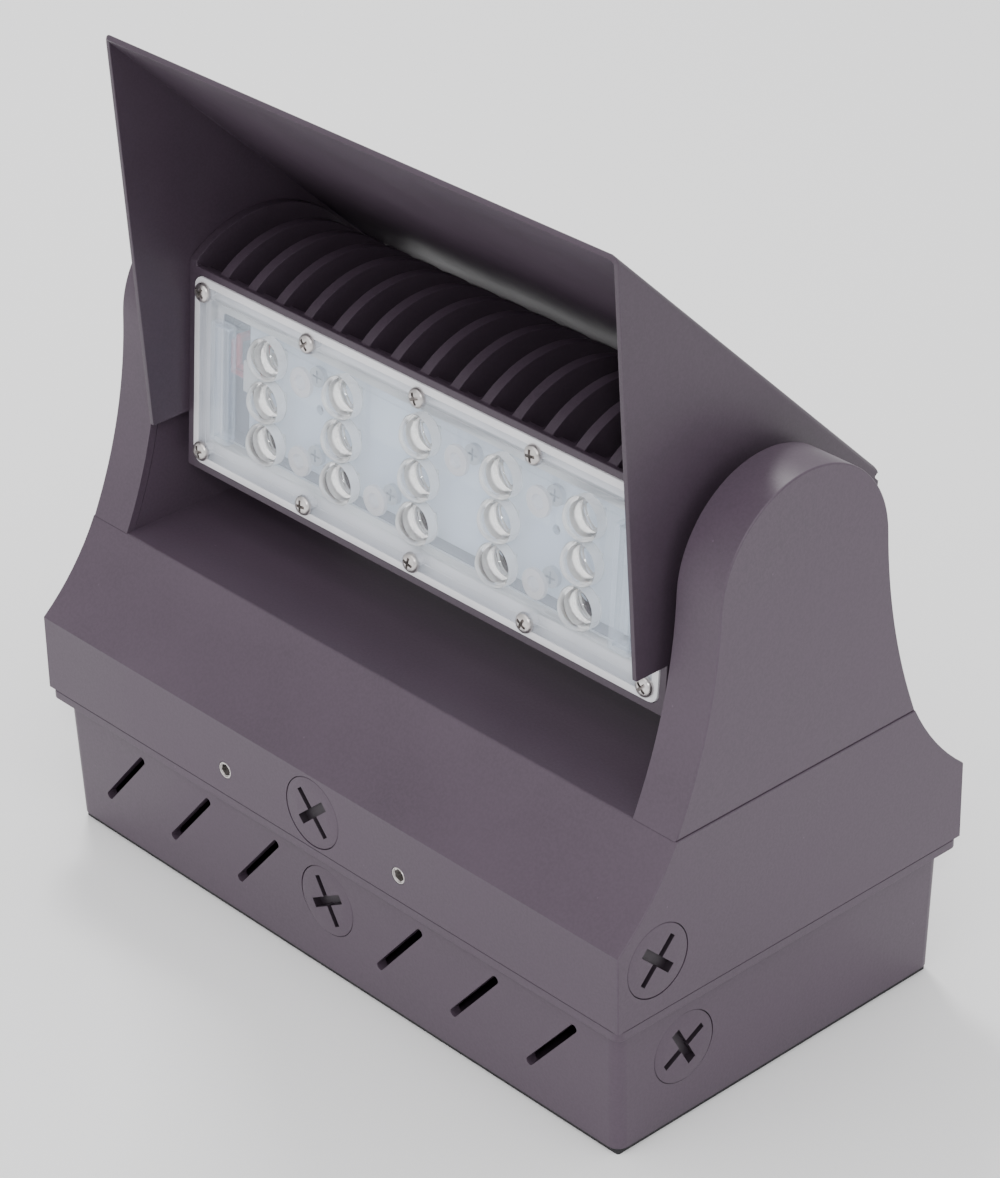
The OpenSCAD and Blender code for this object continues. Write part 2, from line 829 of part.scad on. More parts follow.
module pivot_nuts() {
    color(steel)
        both_sides()
            translate([nut_in, 0, pivot_z])
                difference() {
                    rotate([0, 90, 0]) cylinder(r = pivot_nut_r, h = pivot_nut_h, $fn = 6);
                    translate([-over, 0, 0]) along_x(sleeve_r + fixed_gap / 2, pivot_nut_h + 2 * over);
                }
}

// A round-backed slice of the head, cut flat at its front and underneath
module head_slice(r, front_y, from, to) {
    extrude_x(from, to)
        intersection() {
            translate([fin_centre_y, fin_centre_z]) circle(r = r, $fn = large_fn / 2);
            translate([front_y, frame_low_z]) square([2 * fin_r + plate_ahead, 2 * fin_r + plate_drop]);
        }
}

module heatsink_body() {
    translate([-head_half, frame_front_y, frame_low_z]) cube([2 * head_half, rim_t, frame_h]);
    translate([-head_half, frame_front_y, frame_low_z + shelf_step])
        cube([2 * head_half, shelf_t, frame_h - 2 * shelf_step]);
    translate([-head_half, frame_front_y, frame_low_z + base_step])
        cube([2 * head_half, head_base_y - frame_front_y, frame_h - 2 * base_step]);
    both_sides() {
        head_slice(fin_r + end_wall_rise, frame_front_y, head_half - end_wall_t, head_half);
        translate([head_half - pivot_boss_l, 0, 0]) along_x(pivot_boss_r, pivot_boss_l);
        translate([head_half - pivot_boss_l, pocket_floor_y, -pivot_boss_r])
            cube([pivot_boss_l, -pocket_floor_y, 2 * pivot_boss_r]);
        for (side_sign = [-1, 1])
            translate([head_half - hood_screw_l - end_wall_t, side_sign * hood_screw_y, -hood_screw_z])
                along_x(hood_screw_boss_r, hood_screw_l + end_wall_t);
    }
    for (k = [1 : fin_count]) {
        x = k * fin_pitch - head_half + end_wall_t / 2;
        head_slice(fin_r, fin_start_y - over, x - fin_t / 2, x + fin_t / 2);
    }
}

module heatsink() {
    color(dark_bronze)
        in_head()
            difference() {
                heatsink_body();
                translate([0, seat_y, plate_mid_z])
                    rotate([90, 0, 0])
                        round_plate(2 * (plate_half + slip_gap / 2), plate_h + slip_gap,
                            plate_corner_r, seat_y - frame_front_y + over);
                translate([-pocket_w / 2, seat_y - over, plate_mid_z - pocket_h / 2])
                    cube([pocket_w, pocket_depth + over, pocket_h]);
                both_sides() {
                    translate([sleeve_in, 0, 0]) along_x(sleeve_r + fixed_gap, sleeve_grip + over);
                    for (side_sign = [-1, 1])
                        translate([hood_half - hood_screw_l, side_sign * hood_screw_y, -hood_screw_z])
                            along_x(m4_r + fixed_gap, hood_screw_l);
                }
                translate([-lead_hole_x, pocket_floor_y - over, 0])
                    along_y(lead_hole_r, over - pocket_floor_y + lead_hole_r);
                translate([-sleeve_in - over, 0, 0])
                    along_x(lead_hole_r, sleeve_in - lead_hole_x + over);
                lens_screw_places()
                    translate([0, 0, -lens_screw_l]) cylinder(r = m3_r + fixed_gap, h = lens_screw_l + over);
                board_screw_places()
                    translate([0, 0, -board_t - head_base_t / 2])
                        cylinder(r = m3_r + fixed_gap, h = board_t + head_base_t / 2 + over);
            }
}

// Puts its children on the lens plate's face at each of its screws, facing out
module lens_screw_places() {
    pitch = 2 * (plate_half - lens_screw_inset) / (lens_screw_columns - 1);
    for (k = [0 : lens_screw_columns - 1], side_sign = [-1, 1])
        translate([
            lens_screw_inset - plate_half + k * pitch,
            plate_front_y,
            plate_mid_z + side_sign * (plate_h / 2 - lens_screw_inset)
        ])
            rotate([90, 0, 0]) children();
}

// Puts its children on the board's face at each of its screws, facing out
module board_screw_places() {
    for (spot = [[-1.5, 1], [-1.5, -1], [-0.5, -1], [0.5, 1], [1.5, 1], [1.5, -1]])
        translate([spot[0] * board_screw_pitch, board_front_y, plate_mid_z + spot[1] * board_screw_z])
            rotate([90, 0, 0]) children();
}

// Puts its children at each LED, at a given depth, facing out
module led_places(y) {
    for (i = [0 : led_columns - 1], j = [0 : led_rows - 1])
        translate([
            (i - (led_columns - 1) / 2) * led_pitch_x,
            y,
            plate_mid_z + (j - (led_rows - 1) / 2) * led_pitch_z
        ])
            rotate([90, 0, 0]) children();
}

// The hood's side view in (Y, Z): front tip, front top, back bend, back lower corner
module hood_outline() {
    polygon([
        [-hood_tip_ahead, -hood_tip_drop],
        [-hood_ahead, hood_rise],
        [hood_back, hood_back_rise],
        [hood_back, -hood_side_drop]
    ]);
}

// The space inside the hood, open at the front and underneath
module hood_space() {
    ahead = 2 * hood_ahead;
    back = hood_back - hood_t;
    drop = hood_t * norm([1, hood_slope]);
    polygon([
        [-ahead, -2 * hood_tip_drop],
        [-ahead, hood_rise + hood_slope * (ahead - hood_ahead) - drop],
        [back, hood_back_rise + hood_slope * hood_t - drop],
        [back, -2 * hood_tip_drop]
    ]);
}

module hood() {
    color(bronze)
        in_head()
            difference() {
                extrude_x(-hood_half, hood_half) hood_outline();
                extrude_x(-head_half, head_half) hood_space();
                translate([-head_half, hood_back - 2 * hood_t, -2 * hood_tip_drop])
                    cube([2 * head_half, 3 * hood_t, 2 * hood_tip_drop + hood_back_rise - hood_flange_h]);
                both_sides() {
                    translate([head_half - over, 0, 0]) along_x(hood_hole_r, hood_t + 2 * over);
                    for (side_sign = [-1, 1])
                        translate([head_half - over, side_sign * hood_screw_y, -hood_screw_z])
                            along_x(m4_r + slip_gap, hood_t + 2 * over);
                    translate([head_half, hood_back - hood_t / 2, hood_back_rise - hood_t])
                        sphere(r = relief_r);
                }
            }
}

module hood_screws() {
    color(steel)
        in_head()
            both_sides()
                for (side_sign = [-1, 1])
                    translate([hood_half, side_sign * hood_screw_y, -hood_screw_z])
                        rotate([0, 90, 0]) pan_screw(m4_r, hood_screw_l, m4_head_r, m4_head_h * 3 / 4);
}

module lens_plate() {
    color(clear)
        in_head()
            difference() {
                union() {
                    translate([0, plate_back_y, plate_mid_z])
                        rotate([90, 0, 0]) round_plate(2 * plate_half, plate_h, plate_corner_r, plate_t);
                    both_sides()
                        translate([bump_x - bump_w / 2, plate_front_y - bump_out, plate_mid_z - bump_h / 2])
                            cube([bump_w, bump_out + over, bump_h]);
                    intersection() {
                        led_places(plate_front_y + dome_sphere_r - dome_h) sphere(r = dome_sphere_r);
                        translate([-plate_half, plate_front_y - 2 * dome_h, plate_low_z])
                            cube([2 * plate_half, 2 * dome_h + over, plate_h]);
                    }
                }
                both_sides()
                    translate([
                        bump_x - bump_w / 2 + bump_wall,
                        plate_front_y - bump_out + bump_wall,
                        plate_mid_z - bump_h / 2 + bump_wall
                    ])
                        cube([bump_w - 2 * bump_wall, plate_t + bump_out, bump_h - 2 * bump_wall]);
                led_places(plate_back_y) sphere(r = dome_cup_r);
                lens_screw_places()
                    translate([0, 0, -plate_t - over]) cylinder(r = m3_r + slip_gap, h = plate_t + 2 * over);
            }
}

module lens_gasket() {
    margin = gasket_gap + gasket_band;
    color(foam)
        in_head()
            translate([0, seat_y, plate_mid_z])
                rotate([90, 0, 0])
                    round_band(pocket_w + 2 * margin, pocket_h + 2 * margin, plate_corner_r,
                        lens_gasket_t, gasket_band);
}

module lens_screws() {
    color(steel)
        in_head()
            lens_screw_places() pan_screw(m3_r, lens_screw_l - fixed_gap, m3_head_r, m3_head_h);
}

module led_board() {
    color(white)
        in_head()
            difference() {
                translate([-board_left, board_front_y, plate_mid_z - board_h / 2])
                    cube([board_left + board_right, board_t, board_h]);
                board_screw_places()
                    translate([0, 0, -board_t - over]) cylinder(r = m3_r + slip_gap, h = board_t + 2 * over);
                for (side_sign = [-1, 1])
                    translate([side_sign * board_hole_out, board_front_y - over, plate_mid_z + board_hole_rise])
                        along_y(board_hole_r, board_t + 2 * over);
            }
}

module led_chips() {
    color([0.95, 0.85, 0.45])
        in_head() led_places(board_front_y) cube_centred(chip_w, chip_w, chip_t);
}

module board_screws() {
    color(steel)
        in_head()
            board_screw_places()
                pan_screw(m3_r, board_t + head_base_t / 2 - fixed_gap, m3_head_r, board_screw_head_h);
}

module led_connector() {
    color(white)
        in_head()
            translate([
                -connector_x - connector_w / 2,
                board_front_y - connector_t,
                -connector_z - connector_h / 2
            ])
                cube([connector_w, connector_t, connector_h]);
}

// One lead from the connector, round to the tilt axis and out through the left sleeve
module head_lead(x, start_z, axis_z) {
    lead([
        [-connector_x - connector_w / 2, head_lead_y, start_z],
        [-x, head_lead_y, start_z],
        [-x, head_lead_y, axis_z],
        [-x, 0, axis_z],
        [-sleeve_out, 0, axis_z]
    ], lead_r);
}

module head_leads() {
    in_head() {
        color("firebrick") head_lead(lead_hole_x - lead_step, lead_step - connector_z, lead_step);
        color("dimgray") head_lead(lead_hole_x + lead_step, -lead_step - connector_z, -lead_step);
    }
}

// One lead from the left sleeve, down the arm and through the grommet to the driver
module arm_lead(side_y) {
    lead([
        [-sleeve_out, side_y, pivot_z],
        [-arm_lead_x, side_y, pivot_z],
        [-arm_lead_x, side_y, arm_lead_bend_z],
        [-grommet_x, side_y, arm_lead_bend_z],
        [-grommet_x, side_y, driver_top_z - driver_h / 2],
        [-driver_l / 2, side_y, driver_top_z - driver_h / 2]
    ], lead_r);
}

module arm_leads() {
    color("firebrick") arm_lead(lead_step);
    color("dimgray") arm_lead(-lead_step);
}

module lead_grommet() {
    color(foam)
        translate([-grommet_x, 0, deck_under_z])
            difference() {
                union() {
                    translate([0, 0, -grommet_lip_h]) cylinder(r = grommet_lip_r, h = grommet_lip_h);
                    cylinder(r = grommet_r - fixed_gap, h = wall);
                    translate([0, 0, wall]) cylinder(r = grommet_lip_r, h = grommet_lip_h);
                }
                translate([0, 0, -grommet_lip_h - over])
                    cylinder(r = grommet_bore_r, h = wall + 2 * grommet_lip_h + 2 * over);
            }
}

module driver() {
    color(steel)
        difference() {
            union() {
                translate([-driver_l / 2, -driver_d / 2, driver_top_z - driver_h])
                    cube([driver_l, driver_d, driver_h]);
                both_sides()
                    translate([
                        driver_l / 2 - over,
                        -driver_d / 2,
                        deck_under_z - driver_pad_h - driver_tab_t
                    ])
                        cube([driver_tab_l + over, driver_d, driver_tab_t]);
            }
            both_sides()
                for (side_sign = [-1, 1])
                    translate([
                        driver_tab_x,
                        side_sign * driver_screw_y,
                        deck_under_z - driver_pad_h - driver_tab_t - over
                    ])
                        cylinder(r = m4_r + slip_gap, h = driver_tab_t + 2 * over);
        }
}

module driver_screws() {
    color(steel)
        both_sides()
            for (side_sign = [-1, 1])
                translate([
                    driver_tab_x,
                    side_sign * driver_screw_y,
                    deck_under_z - driver_pad_h - driver_tab_t
                ])
                    rotate([180, 0, 0]) pan_screw(m4_r, driver_screw_l, m4_head_r, m4_head_h);
}

// A supply lead from the driver's right end, down into the box and back towards the middle
module supply_lead(k, end_x, end_z) {
    lead([
        [driver_l / 2, k * supply_pitch, driver_top_z - driver_h / 2],
        [supply_drop_x, k * supply_pitch, driver_top_z - driver_h / 2],
        [supply_drop_x, k * supply_pitch, end_z],
        [end_x, k * supply_pitch, end_z]
    ], supply_r);
}

module supply_leads() {
    nut_x = supply_drop_x - 2 * connector_nut_h;
    ground_end_z = box_floor_z + ground_boss_h + supply_r;
    color("black") supply_lead(-1, nut_x, supply_end_z);
    color("white") supply_lead(0, nut_x, supply_end_z);
    color("green")
        lead([
            [driver_l / 2, supply_pitch, driver_top_z - driver_h / 2],
            [supply_drop_x, supply_pitch, driver_top_z - driver_h / 2],
            [supply_drop_x, supply_pitch, ground_end_z],
            [supply_drop_x, ground_boss_y, ground_end_z],
            [ground_boss_x + m4_head_r + slip_gap, ground_boss_y, ground_end_z]
        ], supply_r);
}

module wire_connectors() {
    nut_x = supply_drop_x - 2 * connector_nut_h;
    color("gold")
        for (k = [-1, 0])
            translate([nut_x, k * supply_pitch, supply_end_z])
                rotate([0, -90, 0])
                    difference() {
                        cylinder(r1 = connector_nut_r, r2 = connector_nut_top_r, h = connector_nut_h);
                        translate([0, 0, -over]) cylinder(r = supply_r, h = connector_nut_h / 2 + over);
                    }
}

module ground_screw() {
    color("green")
        translate([ground_boss_x, ground_boss_y, box_floor_z + ground_boss_h])
            pan_screw(m4_r, ground_screw_l - fixed_gap, m4_head_r, m4_head_h);
}

wall_gasket();
back_box();
joint_gasket();
housing();
housing_set_screws();
housing_entry_plugs();
box_entry_plugs();
left_arm_bracket();
right_arm_bracket();
left_arm_cover();
right_arm_cover();
arm_bolts();
cover_screws();
friction_washers();
pivot_washers();
pivot_sleeves();
pivot_nuts();
heatsink();
hood();
hood_screws();
lens_plate();
lens_gasket();
lens_screws();
led_board();
led_chips();
board_screws();
led_connector();
head_leads();
arm_leads();
lead_grommet();
driver();
driver_screws();
supply_leads();
wire_connectors();
ground_screw();
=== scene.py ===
import math

import bmesh
import bpy
from bpy.props import FloatProperty, FloatVectorProperty, IntProperty, PointerProperty
from mathutils import Matrix, Vector


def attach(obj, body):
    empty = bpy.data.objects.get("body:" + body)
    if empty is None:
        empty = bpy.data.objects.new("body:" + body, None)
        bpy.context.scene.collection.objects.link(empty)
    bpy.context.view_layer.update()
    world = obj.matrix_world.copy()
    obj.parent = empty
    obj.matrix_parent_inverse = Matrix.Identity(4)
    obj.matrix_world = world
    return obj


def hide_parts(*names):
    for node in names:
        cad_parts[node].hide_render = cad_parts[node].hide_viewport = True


bl_info = {
    "name": "Wall pack light",
    "version": (1, 0, 0),
    "blender": (4, 5, 0),
    "location": "View3D > Sidebar > Wall pack light",
    "description": "Builds the castings, hood, lenses and finishes of an outdoor wall light",
    "category": "Object",
}

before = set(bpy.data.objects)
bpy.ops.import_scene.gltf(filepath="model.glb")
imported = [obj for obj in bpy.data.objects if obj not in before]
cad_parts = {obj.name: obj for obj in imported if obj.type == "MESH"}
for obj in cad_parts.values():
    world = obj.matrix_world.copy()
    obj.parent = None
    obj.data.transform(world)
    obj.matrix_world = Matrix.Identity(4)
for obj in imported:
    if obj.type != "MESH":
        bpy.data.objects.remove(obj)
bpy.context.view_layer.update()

MM = 0.001

# The housing's outline, in millimetres: half its width, half its depth, the heights of its
# joint, skirt and deck, and half the deck's depth
HOUSING_HALF = 116.0
HOUSING_DEEP = 63.75
JOINT_Z = 43.6
SKIRT_Z = 66.5
DECK_Z = 91.6
DECK_HALF = 43.65

# The tilting head turns on this axis, and stands tilted back at rest
PIVOT_Z = 149.0
HEAD_TILT = math.radians(4.8)
HEAD_PLACE = Matrix.Translation((0, 0, PIVOT_Z * MM)) @ Matrix.Rotation(-HEAD_TILT, 4, "X")

# The lens plate's face: X stays, Y runs up the plate, and Z points out of it
PLATE_AHEAD = 22.9
PLATE_MID_Z = -11.0
PLATE_HALF = 91.3
PLATE_TALL = 55.6
PLATE_THICK = 3.0
FACE_PLACE = (
    HEAD_PLACE
    @ Matrix.Translation((0, -PLATE_AHEAD * MM, PLATE_MID_Z * MM))
    @ Matrix.Rotation(math.radians(90), 4, "X")
)

# LED columns and rows with their pitch, the radius of a lens dome, and the board's height
# from the lens plate's face
LED_COLUMNS = 5
LED_ROWS = 3
LED_PITCH_X = 30.7
LED_PITCH_Y = 12.55
DOME_R = 6.1
BOARD_DEEP = -6.8

# The hood's side view in the head, as (Y, Z): front tip, front top, back bend, back corner
HOOD_SIDE = [(-34.9, -26.2), (-50.5, 89.9), (49.4, 7.2), (49.4, -19.0)]

# Half the hood's width, its back flange and its sheet, how far its screws stand from the
# pivot both ways, and the radius of the pivot sleeves
HOOD_HALF = 95.3
HOOD_FLANGE = 9.0
HOOD_SHEET = 1.5
HOOD_SCREW = 15.5
SLEEVE_R = 6.0

# How far cutters reach past the face that they cut, and past the far side of a thin wall
OVER = 1.0
THROUGH = 4.0


def metres(*values):
    return Vector(values) * MM


# Modelling helpers

def deselect():
    if bpy.context.object and bpy.context.object.mode != "OBJECT":
        bpy.ops.object.mode_set(mode="OBJECT")
    bpy.ops.object.select_all(action="DESELECT")


def make_active(obj):
    deselect()
    obj.select_set(True)
    bpy.context.view_layer.objects.active = obj


def apply_place(obj):
    make_active(obj)
    bpy.ops.object.transform_apply(location=True, rotation=True, scale=True)


def place(obj, matrix):
    """Moves a piece into the shared frame, with its place kept in its mesh."""
    obj.matrix_world = matrix
    apply_place(obj)


def block(name, low, high):
    """A block from one corner to the other, in millimetres."""
    deselect()
    low, high = metres(*low), metres(*high)
    bpy.ops.mesh.primitive_cube_add(size=1, location=(low + high) / 2, scale=high - low)
    obj = bpy.context.object
    obj.name = name
    apply_place(obj)
    return obj


def rod(name, radius, low, high, at=(0, 0), sides=48):
    """A round bar along Z from one height to another, in millimetres."""
    deselect()
    bpy.ops.mesh.primitive_cylinder_add(
        vertices=sides, radius=radius * MM, depth=(high - low) * MM,
        location=metres(at[0], at[1], (low + high) / 2))
    obj = bpy.context.object
    obj.name = name
    apply_place(obj)
    return obj


def pick(obj, kind, test):
    """Opens a mesh in edit mode with only what passes a test selected."""
    make_active(obj)
    bpy.ops.object.mode_set(mode="EDIT")
    bpy.ops.mesh.select_mode(type=kind)
    bpy.ops.mesh.select_all(action="DESELECT")
    mesh = bmesh.from_edit_mesh(obj.data)
    for item in {"VERT": mesh.verts, "EDGE": mesh.edges, "FACE": mesh.faces}[kind]:
        if test(item):
            item.select_set(True)
    mesh.select_flush_mode()
    bmesh.update_edit_mesh(obj.data)


def close_edit():
    bpy.ops.object.mode_set(mode="OBJECT")


def open_up(obj, test):
    """Takes away the faces that pass a test."""
    pick(obj, "FACE", test)
    bpy.ops.mesh.delete(type="FACE")
    close_edit()


def finish_faces(obj, material, test):
    """Gives the faces that pass a test a finish of their own."""
    obj.data.materials.append(material)
    pick(obj, "FACE", test)
    obj.active_material_index = len(obj.data.materials) - 1
    bpy.ops.object.material_slot_assign()
    close_edit()


def round_edges(obj, test, width, segments=3):
    """Bevels the edges that pass a test, by a width in millimetres."""
    pick(obj, "EDGE", test)
    bpy.ops.mesh.bevel(offset=width * MM, segments=segments, affect="EDGES", clamp_overlap=False)
    close_edit()


def sharp(edge, degrees=20):
    return len(edge.link_faces) == 2 and edge.calc_face_angle() > math.radians(degrees)


def along(edge, axis):
    run = edge.verts[1].co - edge.verts[0].co
    return abs(run[axis]) > 0.95 * run.length


def apply_modifier(obj, kind, **settings):
    make_active(obj)
    modifier = obj.modifiers.new(kind.title(), kind)
    for key, value in settings.items():
        setattr(modifier, key, value)
    bpy.ops.object.modifier_apply(modifier=modifier.name)


def cut(obj, *tools):
    """Cuts tools out of a piece and removes them."""
    for tool in tools:
        apply_modifier(obj, "BOOLEAN", object=tool, operation="DIFFERENCE", solver="EXACT")
        bpy.data.objects.remove(tool)


def add_on(obj, *extras):
    """Makes one solid of a piece and what stands on it."""
    for extra in extras:
        apply_modifier(obj, "BOOLEAN", object=extra, operation="UNION", solver="EXACT")
        bpy.data.objects.remove(extra)


def join(name, parts):
    """One piece from several, each with its own finish."""
    make_active(parts[0])
    for part in parts[1:]:
        part.select_set(True)
    bpy.context.view_layer.objects.active = parts[0]
    if len(parts) > 1:
        bpy.ops.object.join()
    obj = bpy.context.object
    obj.name = name
    return obj


def copy_of(obj, matrix):
    """A copy with its own mesh, moved by a matrix."""
    twin = obj.copy()
    twin.data = obj.data.copy()
    bpy.context.scene.collection.objects.link(twin)
    place(twin, matrix)
    return twin


def set_of(name, first, places):
    """Copies of one piece at each place, as one piece."""
    pieces = [copy_of(first, matrix) for matrix in places]
    bpy.data.objects.remove(first)
    return join(name, pieces)


def moved_by(*offset):
    return Matrix.Translation(metres(*offset))


def turned_by(degrees, axis="Z"):
    return Matrix.Rotation(math.radians(degrees), 4, axis)


def smooth(obj, degrees=35):
    make_active(obj)
    bpy.ops.object.shade_smooth_by_angle(angle=math.radians(degrees))


def soften(obj, degrees=35):
    """Smooth shading that keeps broad faces flat beside their rounded edges."""
    smooth(obj, degrees)
    apply_modifier(obj, "WEIGHTED_NORMAL", keep_sharp=True, weight=80)


def finish_piece(obj, material, body, slot, *nodes):
    """Gives a piece its finish, unless its faces have theirs, and its body, and hides the CAD nodes
    it stands for. The slot is not used.
    """
    if material:
        obj.data.materials.clear()
        obj.data.materials.append(material)
    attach(obj, body)
    if nodes:
        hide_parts(*nodes)


def cast_copy(node, name):
    """A copy of a CAD casting with its flat faces whole, ready for its edges to be rounded."""
    obj = bpy.data.objects.new(name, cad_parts[node].data.copy())
    bpy.context.scene.collection.objects.link(obj)
    make_active(obj)
    bpy.ops.mesh.customdata_custom_splitnormals_clear()
    bpy.ops.object.mode_set(mode="EDIT")
    bpy.ops.mesh.select_all(action="SELECT")
    bpy.ops.mesh.remove_doubles(threshold=0.002 * MM)
    bpy.ops.mesh.dissolve_limited(angle_limit=math.radians(0.4))
    close_edit()
    return obj


# Materials

class Shader:
    """One procedural material and the few node moves that its finishes share."""

    def __init__(self, name, **sockets):
        self.material = bpy.data.materials.new(name)
        self.material.use_nodes = True
        self.tree = self.material.node_tree
        self.surface = self.tree.nodes["Principled BSDF"]
        self.place = self.node("ShaderNodeTexCoord").outputs["Object"]
        for socket, value in sockets.items():
            self.surface.inputs[socket.replace("_", " ")].default_value = value

    def node(self, kind, **inputs):
        node = self.tree.nodes.new(kind)
        for socket, value in inputs.items():
            self.feed(node, socket.replace("_", " "), value)
        return node

    def feed(self, node, socket, value):
        if isinstance(value, bpy.types.NodeSocket):
            self.tree.links.new(value, node.inputs[socket])
        else:
            node.inputs[socket].default_value = value

    def noise(self, scale, detail=2.0, roughness=0.5, stretch=None):
        vector = self.place
        if stretch:
            vector = self.node("ShaderNodeMapping", Vector=vector, Scale=stretch).outputs[0]
        return self.node("ShaderNodeTexNoise", Vector=vector, Scale=scale, Detail=detail,
                         Roughness=roughness).outputs["Fac"]

    def cells(self, scale):
        return self.node("ShaderNodeTexVoronoi", Vector=self.place, Scale=scale).outputs["Distance"]

    def span(self, value, low, high, to_low=0.0, to_high=1.0):
        node = self.node("ShaderNodeMapRange", Value=value)
        for socket, number in zip(range(1, 5), (low, high, to_low, to_high)):
            node.inputs[socket].default_value = number
        return node.outputs[0]

    def mix(self, factor, first, second):
        node = self.tree.nodes.new("ShaderNodeMix")
        node.data_type = "RGBA"
        for index, value in ((0, factor), (6, first), (7, second)):
            if isinstance(value, bpy.types.NodeSocket):
                self.tree.links.new(value, node.inputs[index])
            else:
                node.inputs[index].default_value = value
        return node.outputs[2]

    def bump(self, height, strength, distance, normal=None):
        node = self.node("ShaderNodeBump", Height=height, Strength=strength, Distance=distance * MM)
        if normal:
            self.feed(node, "Normal", normal)
        return node.outputs["Normal"]

    def colour(self, value):
        self.feed(self.surface, "Base Color", value)

    def rough(self, value):
        self.feed(self.surface, "Roughness", value)

    def normal(self, value):
        self.feed(self.surface, "Normal", value)


def shade(colour, factor):
    return tuple(channel * factor for channel in colour[:3]) + (1.0,)


def powder_coat(name, colour, grain):
    """Fine-textured powder coat: a tight orange peel, with faint clouds and a few dust specks."""
    coat = Shader(name, Roughness=0.45, Specular_IOR_Level=0.42)
    clouds = coat.noise(28, 4, 0.55)
    fine = coat.noise(grain, 2, 0.6)
    tone = coat.mix(coat.span(clouds, 0.3, 0.7), shade(colour, 0.92), shade(colour, 1.08))
    tone = coat.mix(coat.span(fine, 0.38, 0.62, 0.0, 0.35), tone, shade(colour, 1.35))
    specks = coat.span(coat.cells(95), 0.0, 0.035, 0.5, 0.0)
    coat.colour(coat.mix(specks, tone, shade(colour, 2.6)))
    coat.rough(coat.span(clouds, 0.25, 0.75, 0.4, 0.52))
    peel = coat.bump(fine, 0.35, 0.06)
    coat.normal(coat.bump(coat.noise(grain * 0.28, 2), 0.22, 0.12, peel))
    return coat.material


def foam_rubber():
    """Closed-cell foam, black with fine pores."""
    foam = Shader("foam_rubber", Roughness=0.9)
    pores = foam.cells(1500)
    depth = foam.span(pores, 0.1, 0.5)
    foam.colour(foam.mix(depth, (0.006, 0.006, 0.007, 1), (0.022, 0.021, 0.024, 1)))
    foam.rough(foam.span(foam.noise(60), 0.3, 0.7, 0.82, 0.95))
    foam.normal(foam.bump(pores, 0.5, 0.15))
    return foam.material


def bare_steel(name, colour, polish):
    """Rolled or plated steel with fine turning marks."""
    steel = Shader(name, Metallic=1.0)
    marks = steel.noise(900, 3, 0.6, (1, 0.12, 1))
    tarnish = steel.noise(160, 3)
    steel.colour(steel.mix(steel.span(tarnish, 0.35, 0.7), shade(colour, 0.82), shade(colour, 1.0)))
    steel.rough(steel.span(marks, 0.3, 0.7, polish, polish + 0.16))
    steel.normal(steel.bump(marks, 0.12, 0.03))
    return steel.material


def moulded_plastic(name, colour, rough):
    """Plastic or rubber with a fine moulded grain."""
    plastic = Shader(name)
    grain = plastic.noise(1800, 2)
    plastic.colour(plastic.mix(plastic.noise(45, 2), shade(colour, 0.93), shade(colour, 1.05)))
    plastic.rough(plastic.span(grain, 0.3, 0.7, rough - 0.05, rough + 0.07))
    plastic.normal(plastic.bump(grain, 0.15, 0.04))
    return plastic.material


def frosted_lens(name, alpha):
    """The milky parts of the lens plate."""
    frost = Shader(name, Alpha=alpha, IOR=1.58)
    cloud = frost.noise(55, 3)
    haze = frost.span(cloud, 0.3, 0.7)
    frost.colour(frost.mix(haze, (0.71, 0.705, 0.735, 1), (0.81, 0.805, 0.84, 1)))
    frost.rough(frost.span(frost.noise(240, 3), 0.3, 0.7, 0.3, 0.44))
    frost.normal(frost.bump(frost.noise(320, 3), 0.1, 0.1))
    return frost.material


def window_lens():
    """The lens plate's clearer field, through which the board is seen softly."""
    window = Shader("window_lens", Alpha=0.24, IOR=1.58)
    cloud = window.noise(40, 2)
    haze = window.span(cloud, 0.3, 0.7)
    window.colour(window.mix(haze, (0.72, 0.81, 0.94, 1), (0.8, 0.89, 1.0, 1)))
    window.rough(window.span(window.noise(150, 2), 0.3, 0.7, 0.14, 0.24))
    window.normal(window.bump(window.noise(90, 2), 0.06, 0.15))
    return window.material


def clear_lens():
    """Polished clear optics, turned milky white where their sides are seen at a slant: a painted
    reflection of the bright surroundings that their rims refract.
    """
    clear = Shader("clear_lens", IOR=1.5)
    slant = clear.node("ShaderNodeLayerWeight", Blend=0.5).outputs["Facing"]
    # Painted reflection: transmission falls from 0.97 face-on to 0.32 at a slant, so the rims turn
    # white
    clear.feed(clear.surface, "Transmission Weight", clear.span(slant, 0.25, 0.7, 0.97, 0.32))
    clear.colour(clear.mix(clear.noise(60, 2), (0.97, 0.985, 1.0, 1), (1.0, 1.0, 1.0, 1)))
    clear.rough(clear.span(clear.noise(420, 2), 0.3, 0.7, 0.0, 0.04))
    return clear.material


def circuit_board():
    """White solder mask with copper pours showing faintly through it."""
    board = Shader("circuit_board")
    pours = board.node("ShaderNodeTexBrick", Vector=board.place, Scale=28.0, Mortar_Size=0.03)
    board.colour(board.mix(board.span(pours.outputs["Fac"], 0.0, 1.0),
                           (0.80, 0.89, 1.0, 1), (0.70, 0.79, 0.92, 1)))
    board.rough(board.span(board.noise(200, 2), 0.3, 0.7, 0.32, 0.42))
    board.normal(board.bump(pours.outputs["Fac"], 0.2, 0.05))
    return board.material


def phosphor():
    """The yellow fill of an unlit LED, under clear silicone."""
    glow = Shader("phosphor", Roughness=0.25, Coat_Weight=1.0, Coat_Roughness=0.05)
    grains = glow.span(glow.noise(2500, 2), 0.35, 0.65)
    glow.colour(glow.mix(grains, (0.8, 0.47, 0.05, 1), (0.9, 0.62, 0.13, 1)))
    glow.normal(glow.bump(glow.noise(3000, 2), 0.1, 0.02))
    return glow.material


